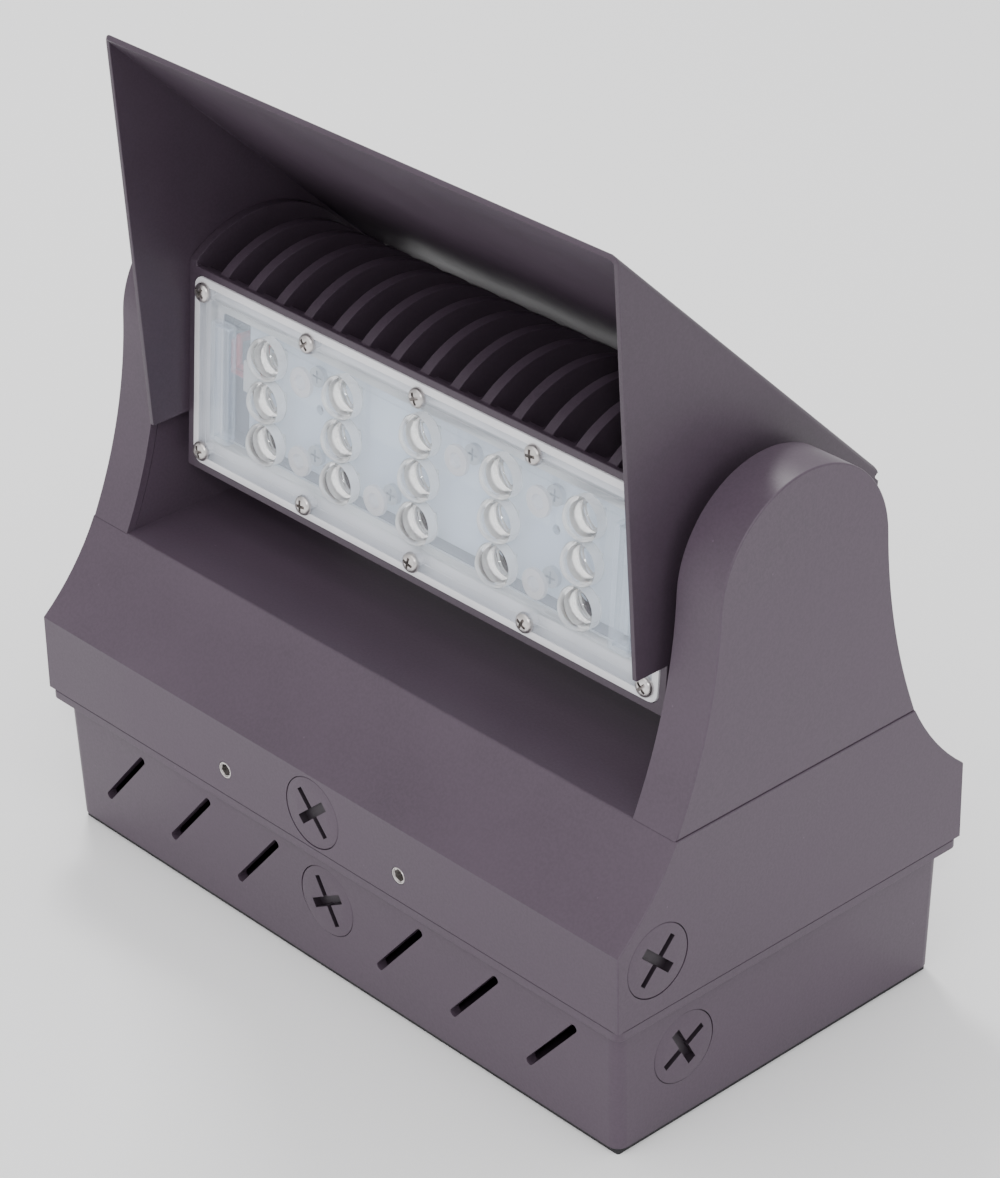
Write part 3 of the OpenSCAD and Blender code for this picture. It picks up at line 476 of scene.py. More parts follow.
def lead_sheath(name, colour):
    sheath = Shader(name, Coat_Weight=0.3)
    sheath.colour(sheath.mix(sheath.noise(500), shade(colour, 0.8), shade(colour, 1.15)))
    sheath.rough(sheath.span(sheath.noise(400), 0.3, 0.7, 0.3, 0.45))
    sheath.normal(sheath.bump(sheath.noise(700), 0.1, 0.05))
    return sheath.material


def supply_sheath():
    """Black, white and green supply leads, side by side along Y."""
    sheath = Shader("supply_lead_sheath", Coat_Weight=0.3)
    across = sheath.node("ShaderNodeSeparateXYZ", Vector=sheath.place).outputs["Y"]
    past_black = sheath.span(across, -5 * MM, -4 * MM)
    past_white = sheath.span(across, 4 * MM, 5 * MM)
    pair = sheath.mix(past_black, (0.015, 0.015, 0.015, 1), (0.75, 0.75, 0.72, 1))
    sheath.colour(sheath.mix(past_white, pair, (0.02, 0.25, 0.05, 1)))
    sheath.rough(sheath.span(sheath.noise(400), 0.3, 0.7, 0.3, 0.45))
    return sheath.material


finishes = {}


def make_finishes(look):
    coat = tuple(look.coat_colour) + (1.0,)
    finishes.update(
        casting=powder_coat("bronze_powder_coat", coat, look.coat_grain),
        # Painted shade: the hood's sheet gets the same coat at 0.78 of its brightness, for the
        # shade under and inside the hood, with a slightly finer grain
        sheet=powder_coat("bronze_sheet_coat", shade(coat, 0.78), look.coat_grain * 1.15),
        # Painted shade: the fins get the same coat at 0.75 of its brightness, for the shade that
        # falls between them under the hood
        sink=powder_coat("bronze_fin_coat", shade(coat, 0.75), look.coat_grain),
        # Painted shade: the plug slots get the same coat at 0.35 of its brightness, for the shade
        # inside them
        recess=powder_coat("bronze_recess_coat", shade(coat, 0.35), look.coat_grain),
        foam=foam_rubber(),
        seal=moulded_plastic("bronze_joint_rubber", shade(coat, 0.8), 0.6),
        nylon=moulded_plastic("black_nylon", (0.03, 0.03, 0.032, 1), 0.5),
        stainless=bare_steel("stainless_steel", (0.66, 0.63, 0.62, 1), 0.26),
        zinc=bare_steel("zinc_plate", (0.56, 0.57, 0.58, 1), 0.3),
        frost=frosted_lens("frosted_flange", 0.94),
        post=frosted_lens("frosted_post", 0.5),
        silicone=moulded_plastic("white_silicone", (0.7, 0.71, 0.72, 1), 0.6),
        window=window_lens(),
        clear=clear_lens(),
        seat=moulded_plastic("white_lens_seat", (0.93, 0.94, 0.95, 1), 0.3),
        board=circuit_board(),
        phosphor=phosphor(),
        ceramic=moulded_plastic("white_ceramic", (0.82, 0.82, 0.8, 1), 0.35),
        connector=moulded_plastic("white_connector", (0.75, 0.74, 0.7, 1), 0.42),
        case=moulded_plastic("grey_driver_case", (0.16, 0.16, 0.17, 1), 0.5),
        nut=moulded_plastic("yellow_splice_nut", (0.75, 0.45, 0.03, 1), 0.35),
        green=bare_steel("green_ground_screw", (0.06, 0.36, 0.1, 1), 0.3),
        leads=lead_sheath("led_lead_sheath", (0.5, 0.012, 0.01, 1)),
        supply=supply_sheath(),
    )


# The CAD nodes that stay as they are, with the finish that each one gets
NODE_FINISH = {
    "wall_gasket": "foam", "lead_grommet": "foam",
    "joint_gasket": "seal", "lens_gasket": "silicone", "friction_washers": "nylon",
    "left_arm_bracket": "casting", "right_arm_bracket": "casting",
    "pivot_washers": "zinc", "pivot_sleeves": "zinc", "pivot_nuts": "zinc", "arm_bolts": "zinc",
    "cover_screws": "zinc", "driver_screws": "zinc", "board_screws": "zinc",
    "led_board": "board", "led_connector": "connector", "driver": "case",
    "wire_connectors": "nut", "ground_screw": "green", "head_leads": "leads", "arm_leads": "leads",
    "supply_leads": "supply",
}


# Settings

class WallPackSizes(bpy.types.PropertyGroup):
    edge_round: FloatProperty(
        name="Casting edges", description="Rounding of the castings' outer edges",
        default=0.0004, min=0.0002, max=0.0012, unit="LENGTH")
    arm_round: FloatProperty(
        name="Arm edges", description="Rounding of the arm covers' outer edges",
        default=0.0005, min=0.0003, max=0.0016, unit="LENGTH")
    fin_round: FloatProperty(
        name="Fin edges", description="Rounding of the cooling fins and the lens frame",
        default=0.0003, min=0.0001, max=0.0005, unit="LENGTH")
    hood_bend: FloatProperty(
        name="Hood bends", description="Outer radius of the bends in the hood's sheet",
        default=0.0019, min=0.001, max=0.003, unit="LENGTH")
    dome_rise: FloatProperty(
        name="Lens domes", description="How far each lens dome stands out of the lens plate",
        default=0.0043, min=0.003, max=0.0055, unit="LENGTH")
    flange_step: FloatProperty(
        name="Lens step",
        description="Height of the steps between the lens plate's rim, flange and window",
        default=0.0002, min=0.0001, max=0.0006, unit="LENGTH")
    round_steps: IntProperty(
        name="Rounding steps", description="Faces across each rounded edge",
        default=3, min=1, max=6)


class WallPackLook(bpy.types.PropertyGroup):
    coat_colour: FloatVectorProperty(
        name="Powder coat", description="Colour of the bronze powder coat",
        default=(0.064, 0.0443, 0.0645), min=0.0, max=1.0, size=3, subtype="COLOR")
    coat_grain: FloatProperty(
        name="Coat grain", description="Fineness of the powder coat's texture, in grains per metre",
        default=1300.0, min=400.0, max=3000.0)
    floor_colour: FloatVectorProperty(
        name="Floor", description="Colour of the studio floor",
        default=(0.95, 0.95, 0.955), min=0.0, max=1.0, size=3, subtype="COLOR")
    key_power: FloatProperty(
        name="Overhead light", description="Power of the overhead studio light",
        default=8.0, min=0.0, max=200.0, unit="POWER")
    side_power: FloatProperty(
        name="Side light", description="Power of the studio light to the right",
        default=1.4, min=0.0, max=200.0, unit="POWER")
    front_power: FloatProperty(
        name="Front light", description="Power of the soft studio light in front",
        default=3.0, min=0.0, max=200.0, unit="POWER")
    rim_power: FloatProperty(
        name="Rim light",
        description="Power of the small light behind, which shows on the tops of the arms",
        default=11.0, min=0.0, max=200.0, unit="POWER")
    glint_power: FloatProperty(
        name="Small light",
        description="Power of the small light that gives the lenses their glints",
        default=6.0, min=0.0, max=200.0, unit="POWER")
    sky_strength: FloatProperty(
        name="Sky strength", description="Strength of the pale light from all round",
        default=0.95, min=0.0, max=5.0)


class PieceOperator:
    """Runs build() with the scene's settings."""

    bl_options = {"REGISTER", "UNDO"}

    def execute(self, context):
        self.build(context.scene.wall_pack_sizes, context.scene.wall_pack_look)
        return {"FINISHED"}


class WALLPACK_OT_finish_frame(PieceOperator, bpy.types.Operator):
    """Make the finishes, and give them to the CAD nodes that stay as they are"""

    bl_idname = "wallpack.finish_frame"
    bl_label = "Finishes"

    def build(self, sizes, look):
        make_finishes(look)
        for node, finish in NODE_FINISH.items():
            for material_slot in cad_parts[node].material_slots:
                material_slot.material = finishes[finish]


# Castings

# The housing's side entries, and how far round their middle their rims reach
SIDE_ENTRY_Y, SIDE_ENTRY_Z = -49.9, 59.4
ENTRY_REACH = 11.0

# Just inside the box's flange and its edge on the wall, half the width and half the depth
FLANGE_INSIDE = (112.9, 61.1)
FLANGE_Z = 40.3
WALL_EDGE_INSIDE = (102.8, 51.0)
WALL_EDGE_Z = 1.85

# Just inside the arm covers' outer faces
ARM_INSIDE = 115.78


def points(edge):
    return [vertex.co / MM for vertex in edge.verts]


def outside(point, half):
    return abs(point.x) > half[0] or abs(point.y) > half[1]


def on_housing_outline(edge):
    """The housing's outer edges above the joint, without the rims of its cable entries."""
    ends = points(edge)
    if not sharp(edge) or max(p.z for p in ends) < JOINT_Z + 0.5:
        return False
    if all(math.hypot(p.y - SIDE_ENTRY_Y, p.z - SIDE_ENTRY_Z) < ENTRY_REACH for p in ends):
        return False
    at_end = all(abs(p.x) > HOUSING_HALF - 0.02 for p in ends)
    at_skirt = all(abs(p.y) > HOUSING_DEEP - 0.02 and p.z > SKIRT_Z - 0.1 for p in ends)
    at_deck = all(abs(p.y) > DECK_HALF - 0.2 and p.z > DECK_Z - 0.02 for p in ends)
    return at_end or (along(edge, 0) and (at_skirt or at_deck))


def on_box_outline(edge):
    """The outer edges of the box's flange and wall side."""
    ends = points(edge)
    flange = all(outside(p, FLANGE_INSIDE) and p.z > FLANGE_Z for p in ends)
    wall_side = all(outside(p, WALL_EDGE_INSIDE) and p.z < WALL_EDGE_Z for p in ends)
    return sharp(edge, 30) and (flange or wall_side)


def on_arm_outline(edge):
    """The edges round an arm cover's outer face."""
    return sharp(edge) and all(abs(p.x) > ARM_INSIDE for p in points(edge))


class WALLPACK_OT_castings(PieceOperator, bpy.types.Operator):
    """Build the housing, back box and arm covers with their cast edges rounded"""

    bl_idname = "wallpack.castings"
    bl_label = "Castings"

    def build(self, sizes, look):
        steps = sizes.round_steps
        housing = cast_copy("housing", "housing_casting")
        round_edges(housing, on_housing_outline, sizes.edge_round / MM, steps)
        box = cast_copy("back_box", "back_box_casting")
        round_edges(box, on_box_outline, sizes.edge_round / MM / 2, steps)
        for piece, node in ((housing, "housing"), (box, "back_box")):
            soften(piece)
            finish_piece(piece, finishes["casting"], "base", "bronze_casting", node)
        for side in ("left", "right"):
            node = side + "_arm_cover"
            cover = cast_copy(node, side + "_arm_casting")
            round_edges(cover, on_arm_outline, sizes.arm_round / MM, steps)
            soften(cover)
            finish_piece(cover, finishes["casting"], "base", "bronze_casting", node)


class WALLPACK_OT_finned_head(PieceOperator, bpy.types.Operator):
    """Build the finned head casting with soft fin edges"""

    bl_idname = "wallpack.finned_head"
    bl_label = "Finned head"

    def build(self, sizes, look):
        sink = cast_copy("heatsink", "finned_head")
        round_edges(sink, lambda e: sharp(e, 40), sizes.fin_round / MM, 2)
        soften(sink)
        # The fins take the darker coat, which paints in the shade under the hood
        finish_piece(sink, finishes["sink"], "head", "bronze_casting", "heatsink")


# Hood

HOOD_SCREW_HOLE_R = 2.2
SLEEVE_GAP = 0.2
SHEET_EDGE = 0.22

# The bends at the sides rise more than this, and the back flange's short corners don't
BEND_RISE = 60.0

# The small holes at the back corners, where two bends meet
RELIEF_R = 1.0
RELIEF_DROP = 2.2


def hood_cutters():
    """Cutters for the holes in the side plates and the corner reliefs."""
    back_y, back_z = HOOD_SIDE[2]
    mid_sheet = HOOD_SHEET / 2
    holes = ((0, 0, SLEEVE_R + SLEEVE_GAP), (-HOOD_SCREW, -HOOD_SCREW, HOOD_SCREW_HOLE_R),
             (HOOD_SCREW, -HOOD_SCREW, HOOD_SCREW_HOLE_R))
    for side in (-1, 1):
        for y, z, radius in holes:
            hole = rod("hood_hole", radius, -THROUGH, THROUGH)
            place(hole, moved_by(side * HOOD_HALF, y, z) @ turned_by(90, "Y"))
            yield hole
        relief = rod("corner_relief", RELIEF_R, -THROUGH, THROUGH, sides=24)
        corner = moved_by(side * (HOOD_HALF - mid_sheet), back_y - mid_sheet, back_z - RELIEF_DROP)
        place(relief, corner @ turned_by(45 * side) @ turned_by(90, "Y"))
        yield relief


def is_hood_bend(edge):
    """The edges where the sheet turns from the slope to the sides and to the back flange."""
    ends = points(edge)
    rise = abs(ends[0].z - ends[1].z)
    at_side = rise > BEND_RISE and all(abs(p.x) > HOOD_HALF - 0.1 for p in ends)
    at_back = along(edge, 0) and all(abs(p.z - HOOD_SIDE[2][1]) < 0.1 for p in ends)
    return len(edge.link_faces) == 2 and (at_side or at_back)


class WALLPACK_OT_hood(PieceOperator, bpy.types.Operator):
    """Fold the hood from one sheet: a sloping top, two side plates and a short back flange"""

    bl_idname = "wallpack.hood"
    bl_label = "Hood"

    def build(self, sizes, look):
        deselect()
        bpy.ops.mesh.primitive_plane_add(size=2 * HOOD_HALF * MM)
        hood = bpy.context.object
        hood.name = "folded_hood"
        tip, top, bend, corner = HOOD_SIDE
        for vertex, (y, z) in zip(hood.data.vertices, (tip, top, corner, bend)):
            vertex.co = metres(-HOOD_HALF, y, z)
        pick(hood, "FACE", lambda f: True)
        bpy.ops.mesh.extrude_region_move(
            TRANSFORM_OT_translate={"value": (2 * HOOD_HALF * MM, 0, 0)})
        bpy.ops.mesh.select_all(action="SELECT")
        bpy.ops.mesh.normals_make_consistent(inside=False)
        close_edit()

        # The front and underside are open, and the back is a short flange
        flange_z = bend[1] - HOOD_FLANGE
        open_up(hood, lambda f: f.normal.y < -0.5 or f.normal.z < -0.5)
        pick(hood, "FACE", lambda f: True)
        bpy.ops.mesh.bisect(plane_co=metres(0, 0, flange_z), plane_no=(0, 0, 1))
        close_edit()
        open_up(hood, lambda f: f.normal.y > 0.9 and f.calc_center_median().z < flange_z * MM)

        round_edges(hood, is_hood_bend, sizes.hood_bend / MM, sizes.round_steps + 1)
        apply_modifier(hood, "SOLIDIFY", thickness=HOOD_SHEET * MM, offset=-1.0,
                       use_even_offset=True, use_quality_normals=True)
        cut(hood, *hood_cutters())
        round_edges(hood, lambda e: sharp(e, 60), SHEET_EDGE, 2)
        soften(hood, 30)
        place(hood, HEAD_PLACE)
        # The hood takes the darker sheet coat, which paints in the shade under it
        finish_piece(hood, finishes["sheet"], "head", "bronze_sheet", "hood")


# Lens cover and LEDs

# Steps of the lens plate, each set in from its edge, with its own corner radius. The window
# rises by so many flange steps, and the pocket behind it is cut from the back to WINDOW_BACK.
PLATE_CORNER = 3.2
PLATE_EDGE = 0.3
GROOVE_INSET, GROOVE_CORNER = 2.2, 2.0
LAND_INSET, LAND_CORNER = 5.2, 1.2
WINDOW_INSET, WINDOW_CORNER = 9.2, 0.8
WINDOW_EDGE = 0.2
WINDOW_RISE = 1.8
WINDOW_BACK = -2.7

# Lens screws, in two rows
SCREW_INSET = 4.1
SCREW_COLUMNS = 5
SCREW_WAY_R = 1.75

# Raised boxes at both ends of the window, over the connector and its match
END_BOX_X = 78.4
END_BOX_HALF_W = 3.8
END_BOX_HALF_H = 17.7
END_BOX_OUT = 2.0
END_BOX_WALL = 1.4
END_BOX_EDGE = 0.7

# Round bosses beside the domes: places, and (radius, height) from the middle outwards
BOSS_X = LED_PITCH_X / 2
BOSS_Y = 11.6
BOSS_SPOTS = [(-3 * BOSS_X, BOSS_Y), (-3 * BOSS_X, -BOSS_Y), (-BOSS_X, -BOSS_Y),
              (BOSS_X, BOSS_Y), (3 * BOSS_X, BOSS_Y), (3 * BOSS_X, -BOSS_Y)]
BOSS_PROFILE = [(0, -0.2), (1.5, -0.2), (2.2, 0.62), (3.6, 0.66), (4.2, 0.5), (4.3, 0.05),
                (4.3, -0.6), (0, -0.6)]

# The hollow under each dome: its radius, the height of its edge, its ball and its top
CUP_R = 3.4
CUP_EDGE = -1.9
CUP_BALL = 5.0
CUP_TOP = -0.5

# Each LED package: its square base, and the yellow dome that is sunk a little into it
LED_BASE_HALF = 1.75
LED_BASE_TALL = 0.7
LED_BASE_EDGE = 0.12
LED_GLOW_R = 1.45
LED_GLOW_Z = 0.65


def led_spots():
    """The middle of each LED on the lens plate's face."""
    for column in range(LED_COLUMNS):
        for row in range(LED_ROWS):
            yield ((column - (LED_COLUMNS - 1) / 2) * LED_PITCH_X,
                   (row - (LED_ROWS - 1) / 2) * LED_PITCH_Y)


def lens_screw_spots():
    """The middle of each lens screw, along both long edges of the plate."""
    pitch = 2 * (PLATE_HALF - SCREW_INSET) / (SCREW_COLUMNS - 1)
    for column in range(SCREW_COLUMNS):
        for side in (-1, 1):
            yield (SCREW_INSET - PLATE_HALF + column * pitch, side * (PLATE_TALL / 2 - SCREW_INSET))


def turned(name, profile, steps=40):
    """A solid turned about Z from (radius, height) points that start and end on the axis."""
    mesh = bpy.data.meshes.new(name)
    edges = [(i, i + 1) for i in range(len(profile) - 1)]
    mesh.from_pydata([metres(r, 0, z) for r, z in profile], edges, [])
    obj = bpy.data.objects.new(name, mesh)
    bpy.context.scene.collection.objects.link(obj)
    make_active(obj)
    bpy.ops.object.mode_set(mode="EDIT")
    bpy.ops.mesh.select_all(action="SELECT")
    bpy.ops.mesh.spin(steps=steps, angle=math.tau, center=(0, 0, 0), axis=(0, 0, 1))
    bpy.ops.mesh.select_all(action="SELECT")
    bpy.ops.mesh.remove_doubles(threshold=0.001 * MM)
    bpy.ops.mesh.normals_make_consistent(inside=False)
    close_edit()
    return obj


def arc(radius, centre, start, end, steps):
    """Points (radius, height) on a circle about the axis, from one angle off it to another."""
    for i in range(steps + 1):
        angle = start + (end - start) * i / steps
        yield (radius * math.sin(angle), centre + radius * math.cos(angle))


def plate_layer(name, inset, low, high, corner):
    """A plate with rounded corners, set in from the lens plate's edge."""
    half = (PLATE_HALF - inset, PLATE_TALL / 2 - inset)
    layer = block(name, (-half[0], -half[1], low), (half[0], half[1], high))
    round_edges(layer, lambda e: along(e, 2), corner, 5)
    return layer


def end_block(name, side, inset, low, high):
    """A block the size of one end box, or set in from it by its wall."""
    middle, half_w, half_h = side * END_BOX_X, END_BOX_HALF_W - inset, END_BOX_HALF_H - inset
    return block(name, (middle - half_w, -half_h, low), (middle + half_w, half_h, high))


def front_rim(edge):
    """The edges round a layer's front face."""
    return sharp(edge, 60) and any(face.normal.z > 0.9 for face in edge.link_faces)


def in_window(face):
    """The window's front, its sides and the floor of the pocket behind it."""
    middle = face.calc_center_median() / MM
    field = (PLATE_HALF - WINDOW_INSET + 0.01, PLATE_TALL / 2 - WINDOW_INSET + 0.01)
    return not outside(middle, field) and (face.normal.z > -0.9 or middle.z > WINDOW_BACK - 0.1)


def in_dome_seat(face):
    """The walls of the round holes that hold the domes."""
    middle = face.calc_center_median() / MM
    return abs(face.normal.z) < 0.3 and any(
        math.hypot(middle.x - x, middle.y - y) < DOME_R + 0.1 for x, y in led_spots())


class WALLPACK_OT_lens_cover(PieceOperator, bpy.types.Operator):
    """Build the moulded lens cover: a frosted flange, a window, two end boxes and six bosses"""

    bl_idname = "wallpack.lens_cover"
    bl_label = "Lens cover"

    def build(self, sizes, look):
        step = sizes.flange_step / MM
        cover = plate_layer("lens_cover", 0, -PLATE_THICK, 0, PLATE_CORNER)
        round_edges(cover, front_rim, PLATE_EDGE, 2)
        groove = plate_layer("flange_groove", GROOVE_INSET, -step, OVER, GROOVE_CORNER)
        cut(groove, plate_layer("flange_land", LAND_INSET, -OVER, 2 * OVER, LAND_CORNER))
        cut(cover, groove)
        window = plate_layer("window_land", WINDOW_INSET, -OVER, WINDOW_RISE * step, WINDOW_CORNER)
        round_edges(window, front_rim, WINDOW_EDGE, 1)
        add_on(cover, window)
        cut(cover, plate_layer("window_back", WINDOW_INSET, -THROUGH, WINDOW_BACK, WINDOW_CORNER))

        tools = [rod("dome_seat", DOME_R + 0.01, -THROUGH, THROUGH, spot) for spot in led_spots()]
        tools += [rod("screw_way", SCREW_WAY_R, -THROUGH, THROUGH, spot, 24)
                  for spot in lens_screw_spots()]
        tools += [end_block("end_box_way", side, END_BOX_WALL, -THROUGH, THROUGH)
                  for side in (-1, 1)]
        cut(cover, join("cover_cuts", tools))
        cover.data.materials.append(finishes["frost"])
        finish_faces(cover, finishes["window"], in_window)
        finish_faces(cover, finishes["seat"], in_dome_seat)

        extras = []
        for side in (-1, 1):
            end_box = end_block("end_box", side, 0, -OVER, END_BOX_OUT)
            open_up(end_box, lambda f: f.normal.z < -0.9)
            round_edges(end_box, lambda e: len(e.link_faces) == 2, END_BOX_EDGE, 3)
            apply_modifier(end_box, "SOLIDIFY", thickness=END_BOX_WALL * MM, offset=-1.0,
                           use_even_offset=True)
            end_box.data.materials.append(finishes["window"])
            extras.append(end_box)
        for spot in BOSS_SPOTS:
            boss = turned("boss", BOSS_PROFILE, 32)
            place(boss, moved_by(*spot, 0))
            boss.data.materials.append(finishes["post"])
            extras.append(boss)
        cover = join("lens_cover", [cover] + extras)
        smooth(cover, 40)
        place(cover, FACE_PLACE)
        finish_piece(cover, None, "head", "clear_lens", "lens_plate")


class WALLPACK_OT_lens_domes(PieceOperator, bpy.types.Operator):
    """Turn the clear lens domes, each with a hollow over its LED"""

    bl_idname = "wallpack.lens_domes"
    bl_label = "Lens domes"

    def build(self, sizes, look):
        rise = sizes.dome_rise / MM
        ball = (DOME_R ** 2 + rise ** 2) / (2 * rise)
        lean = math.asin(min(1.0, DOME_R / ball))
        profile = list(arc(ball, rise - ball, 0.0, lean, 12))
        profile += [(DOME_R, -PLATE_THICK), (CUP_R, -PLATE_THICK), (CUP_R, CUP_EDGE)]
        profile += list(arc(CUP_BALL, CUP_TOP - CUP_BALL, math.asin(CUP_R / CUP_BALL), 0.0, 8))
        places = [moved_by(*spot, 0) for spot in led_spots()]
        lenses = set_of("lens_domes", turned("dome", profile), places)
        smooth(lenses, 40)
        place(lenses, FACE_PLACE)
        finish_piece(lenses, finishes["clear"], "head", "clear_lens")


class WALLPACK_OT_led_packages(PieceOperator, bpy.types.Operator):
    """Build the LED packages: a ceramic base under a phosphor dome"""

    bl_idname = "wallpack.led_packages"
    bl_label = "LED packages"

    def build(self, sizes, look):
        half = LED_BASE_HALF
        base = block("led_base", (-half, -half, 0), (half, half, LED_BASE_TALL))
        round_edges(base, lambda e: True, LED_BASE_EDGE, 2)
        base.data.materials.append(finishes["ceramic"])
        profile = list(arc(LED_GLOW_R, LED_GLOW_Z, 0.0, math.pi / 2, 8)) + [(0, LED_GLOW_Z)]
        dome = turned("led_dome", profile, 24)
        dome.data.materials.append(finishes["phosphor"])
        package = join("led_package", [base, dome])
        places = [moved_by(*spot, BOARD_DEEP) for spot in led_spots()]
        leds = set_of("led_packages", package, places)
        smooth(leds)
        place(leds, FACE_PLACE)
        finish_piece(leds, None, "head", "led_phosphor", "led_chips")


# Screws and plugs

# Pan screws: shank radius and length, and head radius and height
LENS_SCREW = (1.5, 7.9, 2.9, 1.9)
HOOD_SCREW_SIZE = (2.0, 8.0, 3.5, 1.95)

# The set screws' (radius, height) from the middle outwards, their sockets and their places
SET_SCREW_PROFILE = [(0, -0.35), (2.0, -0.35), (2.1, 0), (2.35, 0), (2.5, -0.25), (2.5, -5.4),
                     (2.0, -6), (0, -6)]
SOCKET_R = 1.9
SOCKET_DEEP = 4.5
SET_SCREW_X = 35.4
SET_SCREW_SHIFT = -1.2
SET_SCREW_Z = 51.5

# Entry plugs, with half the sizes of their two crossing slots along X and Y, the slots'
# depth, and how far from a plug's middle the faces of a slot can lie
PLUG_R = 10.49
PLUG_LONG = 8.0
PLUG_EDGE = 0.35
WIDE_SLOT = (6.4, 1.4)
LONG_SLOT = (0.95, 7.6)
SLOT_DEEP = 2.2
SLOT_REACH = 9.5

# Each set of plugs: its name, its CAD node, and the places and turns of its front plug and of
# its right plug, which the left one mirrors. Faces sit a hair inside the casting's own.
FLUSH = 0.05
PLUG_GROUPS = (
    ("housing_plugs", "housing_entry_plugs",
     ((0, FLUSH - HOUSING_DEEP, 54.9), 41),
     ((HOUSING_HALF - FLUSH, SIDE_ENTRY_Y, SIDE_ENTRY_Z), -44)),
    ("box_plugs", "box_entry_plugs",
     ((0, -60.0, 24.8), 30),
     ((111.87, -36.4, 23.8), -62)),
)


def cross_recess(length, width, depth, top):
    """A cross-shaped cutter whose arms narrow towards its tip."""
    arms = []
    for turn in (0, 90):
        arm = block("recess_arm", (-length / 2, -width / 2, top - depth),
                    (length / 2, width / 2, top + OVER))
        pick(arm, "FACE", lambda f: f.normal.z < -0.9)
        bpy.ops.transform.resize(value=(0.62, 0.75, 1))
        close_edit()
        place(arm, turned_by(turn))
        arms.append(arm)
    return arms


def pan_screw(name, shank, length, head_r, head_h):
    """A cross-recess pan screw with a domed head, its head above z = 0."""
    head = [(0, 1), (0.45, 0.97), (0.75, 0.84), (0.92, 0.6), (1, 0.3), (1, 0.06), (0.96, 0)]
    tip = [(shank, 0), (shank, shank * 0.4 - length), (shank * 0.7, -length), (0, -length)]
    screw = turned(name, [(head_r * r, head_h * z) for r, z in head] + tip, 32)
    cut(screw, *cross_recess(head_r * 1.45, head_r * 0.34, head_h * 0.85, head_h))
    smooth(screw, 30)
    return screw


def facing(axis, at):
    """A place whose Z points along +X, -X or -Y of the shared frame, in millimetres."""
    turn = {
        "+x": Matrix(((0, 0, 1), (1, 0, 0), (0, 1, 0))),
        "-x": Matrix(((0, 0, -1), (-1, 0, 0), (0, 1, 0))),
        "-y": Matrix(((1, 0, 0), (0, 0, -1), (0, 1, 0))),
    }[axis]
    return moved_by(*at) @ turn.to_4x4()


class WALLPACK_OT_screws(PieceOperator, bpy.types.Operator):
    """Build the lens screws, hood screws and socket set screws"""

    bl_idname = "wallpack.screws"
    bl_label = "Screws"

    def build(self, sizes, look):
        places = [moved_by(*spot, 0) @ turned_by(20 + 37 * turn)
                  for turn, spot in enumerate(lens_screw_spots())]
        lens_screws = set_of("lens_screw_set", pan_screw("lens_screw", *LENS_SCREW), places)
        place(lens_screws, FACE_PLACE)
        finish_piece(lens_screws, finishes["stainless"], "head", "stainless", "lens_screws")

        places = []
        for axis, side in (("+x", 1), ("-x", -1)):
            for y in (-HOOD_SCREW, HOOD_SCREW):
                at = (side * HOOD_HALF, y, -HOOD_SCREW)
                places.append(facing(axis, at) @ turned_by(25 + 2 * y))
        hood_screws = set_of("hood_screw_set", pan_screw("hood_screw", *HOOD_SCREW_SIZE), places)
        place(hood_screws, HEAD_PLACE)
        finish_piece(hood_screws, finishes["zinc"], "head", "zinc_screws", "hood_screws")

        set_screw = turned("set_screw", SET_SCREW_PROFILE, 32)
        cut(set_screw, rod("hex_socket", SOCKET_R, -SOCKET_DEEP, OVER, sides=6))
        smooth(set_screw, 30)
        places = []
        for side in (-1, 1):
            at = (side * SET_SCREW_X + SET_SCREW_SHIFT, FLUSH - HOUSING_DEEP, SET_SCREW_Z)
            places.append(facing("-y", at) @ turned_by(12 * side))
        set_screws = set_of("set_screw_pair", set_screw, places)
        finish_piece(set_screws, finishes["stainless"], "base", "stainless", "housing_set_screws")


def in_slot(face):
    """The walls and floors of a plug's slots."""
    middle = face.calc_center_median() / MM
    in_depth = -SLOT_DEEP - 0.3 < middle.z < -0.1
    return in_depth and math.hypot(middle.x, middle.y) < SLOT_REACH


def slot_cutter(name, half):
    """A cutter for one slot, from half its sizes along X and Y."""
    return block(name, (-half[0], -half[1], -SLOT_DEEP), (half[0], half[1], OVER))


class WALLPACK_OT_entry_plugs(PieceOperator, bpy.types.Operator):
    """Build the flush plugs in the cable entries, each with a narrow slot across a wide one"""

    bl_idname = "wallpack.entry_plugs"
    bl_label = "Entry plugs"

    def build(self, sizes, look):
        for name, node, (front, front_turn), (side, side_turn) in PLUG_GROUPS:
            plug = rod("entry_plug", PLUG_R, -PLUG_LONG, 0, sides=96)
            round_edges(plug, front_rim, PLUG_EDGE, 3)
            cut(plug, slot_cutter("wide_slot", WIDE_SLOT), slot_cutter("long_slot", LONG_SLOT))
            smooth(plug, 30)
            plug.data.materials.append(finishes["casting"])
            # The slots' walls and floors take the darker coat, which paints in the shade inside the
            # slots
            finish_faces(plug, finishes["recess"], in_slot)
            places = [
                facing("-y", front) @ turned_by(front_turn),
                facing("+x", side) @ turned_by(side_turn),
                facing("-x", (-side[0], side[1], side[2])) @ turned_by(-side_turn),
            ]
            plugs = set_of(name, plug, places)
            finish_piece(plugs, None, "base", "bronze_casting", node)


# Stage

# The photograph's viewing angle: the camera's place in millimetres, its turns, and its focal
# length in pixels of the image
CAMERA_AT = (687.03, -619.40, 636.31)
CAMERA_AZIMUTH = math.radians(47.723)
CAMERA_ELEVATION = math.radians(30.222)
CAMERA_ROLL = math.radians(-1.184)
CAMERA_FOCAL = 3979.25
IMAGE_TALL = 1178
SENSOR = 36.0
CLIP_START, CLIP_END = 0.05, 50

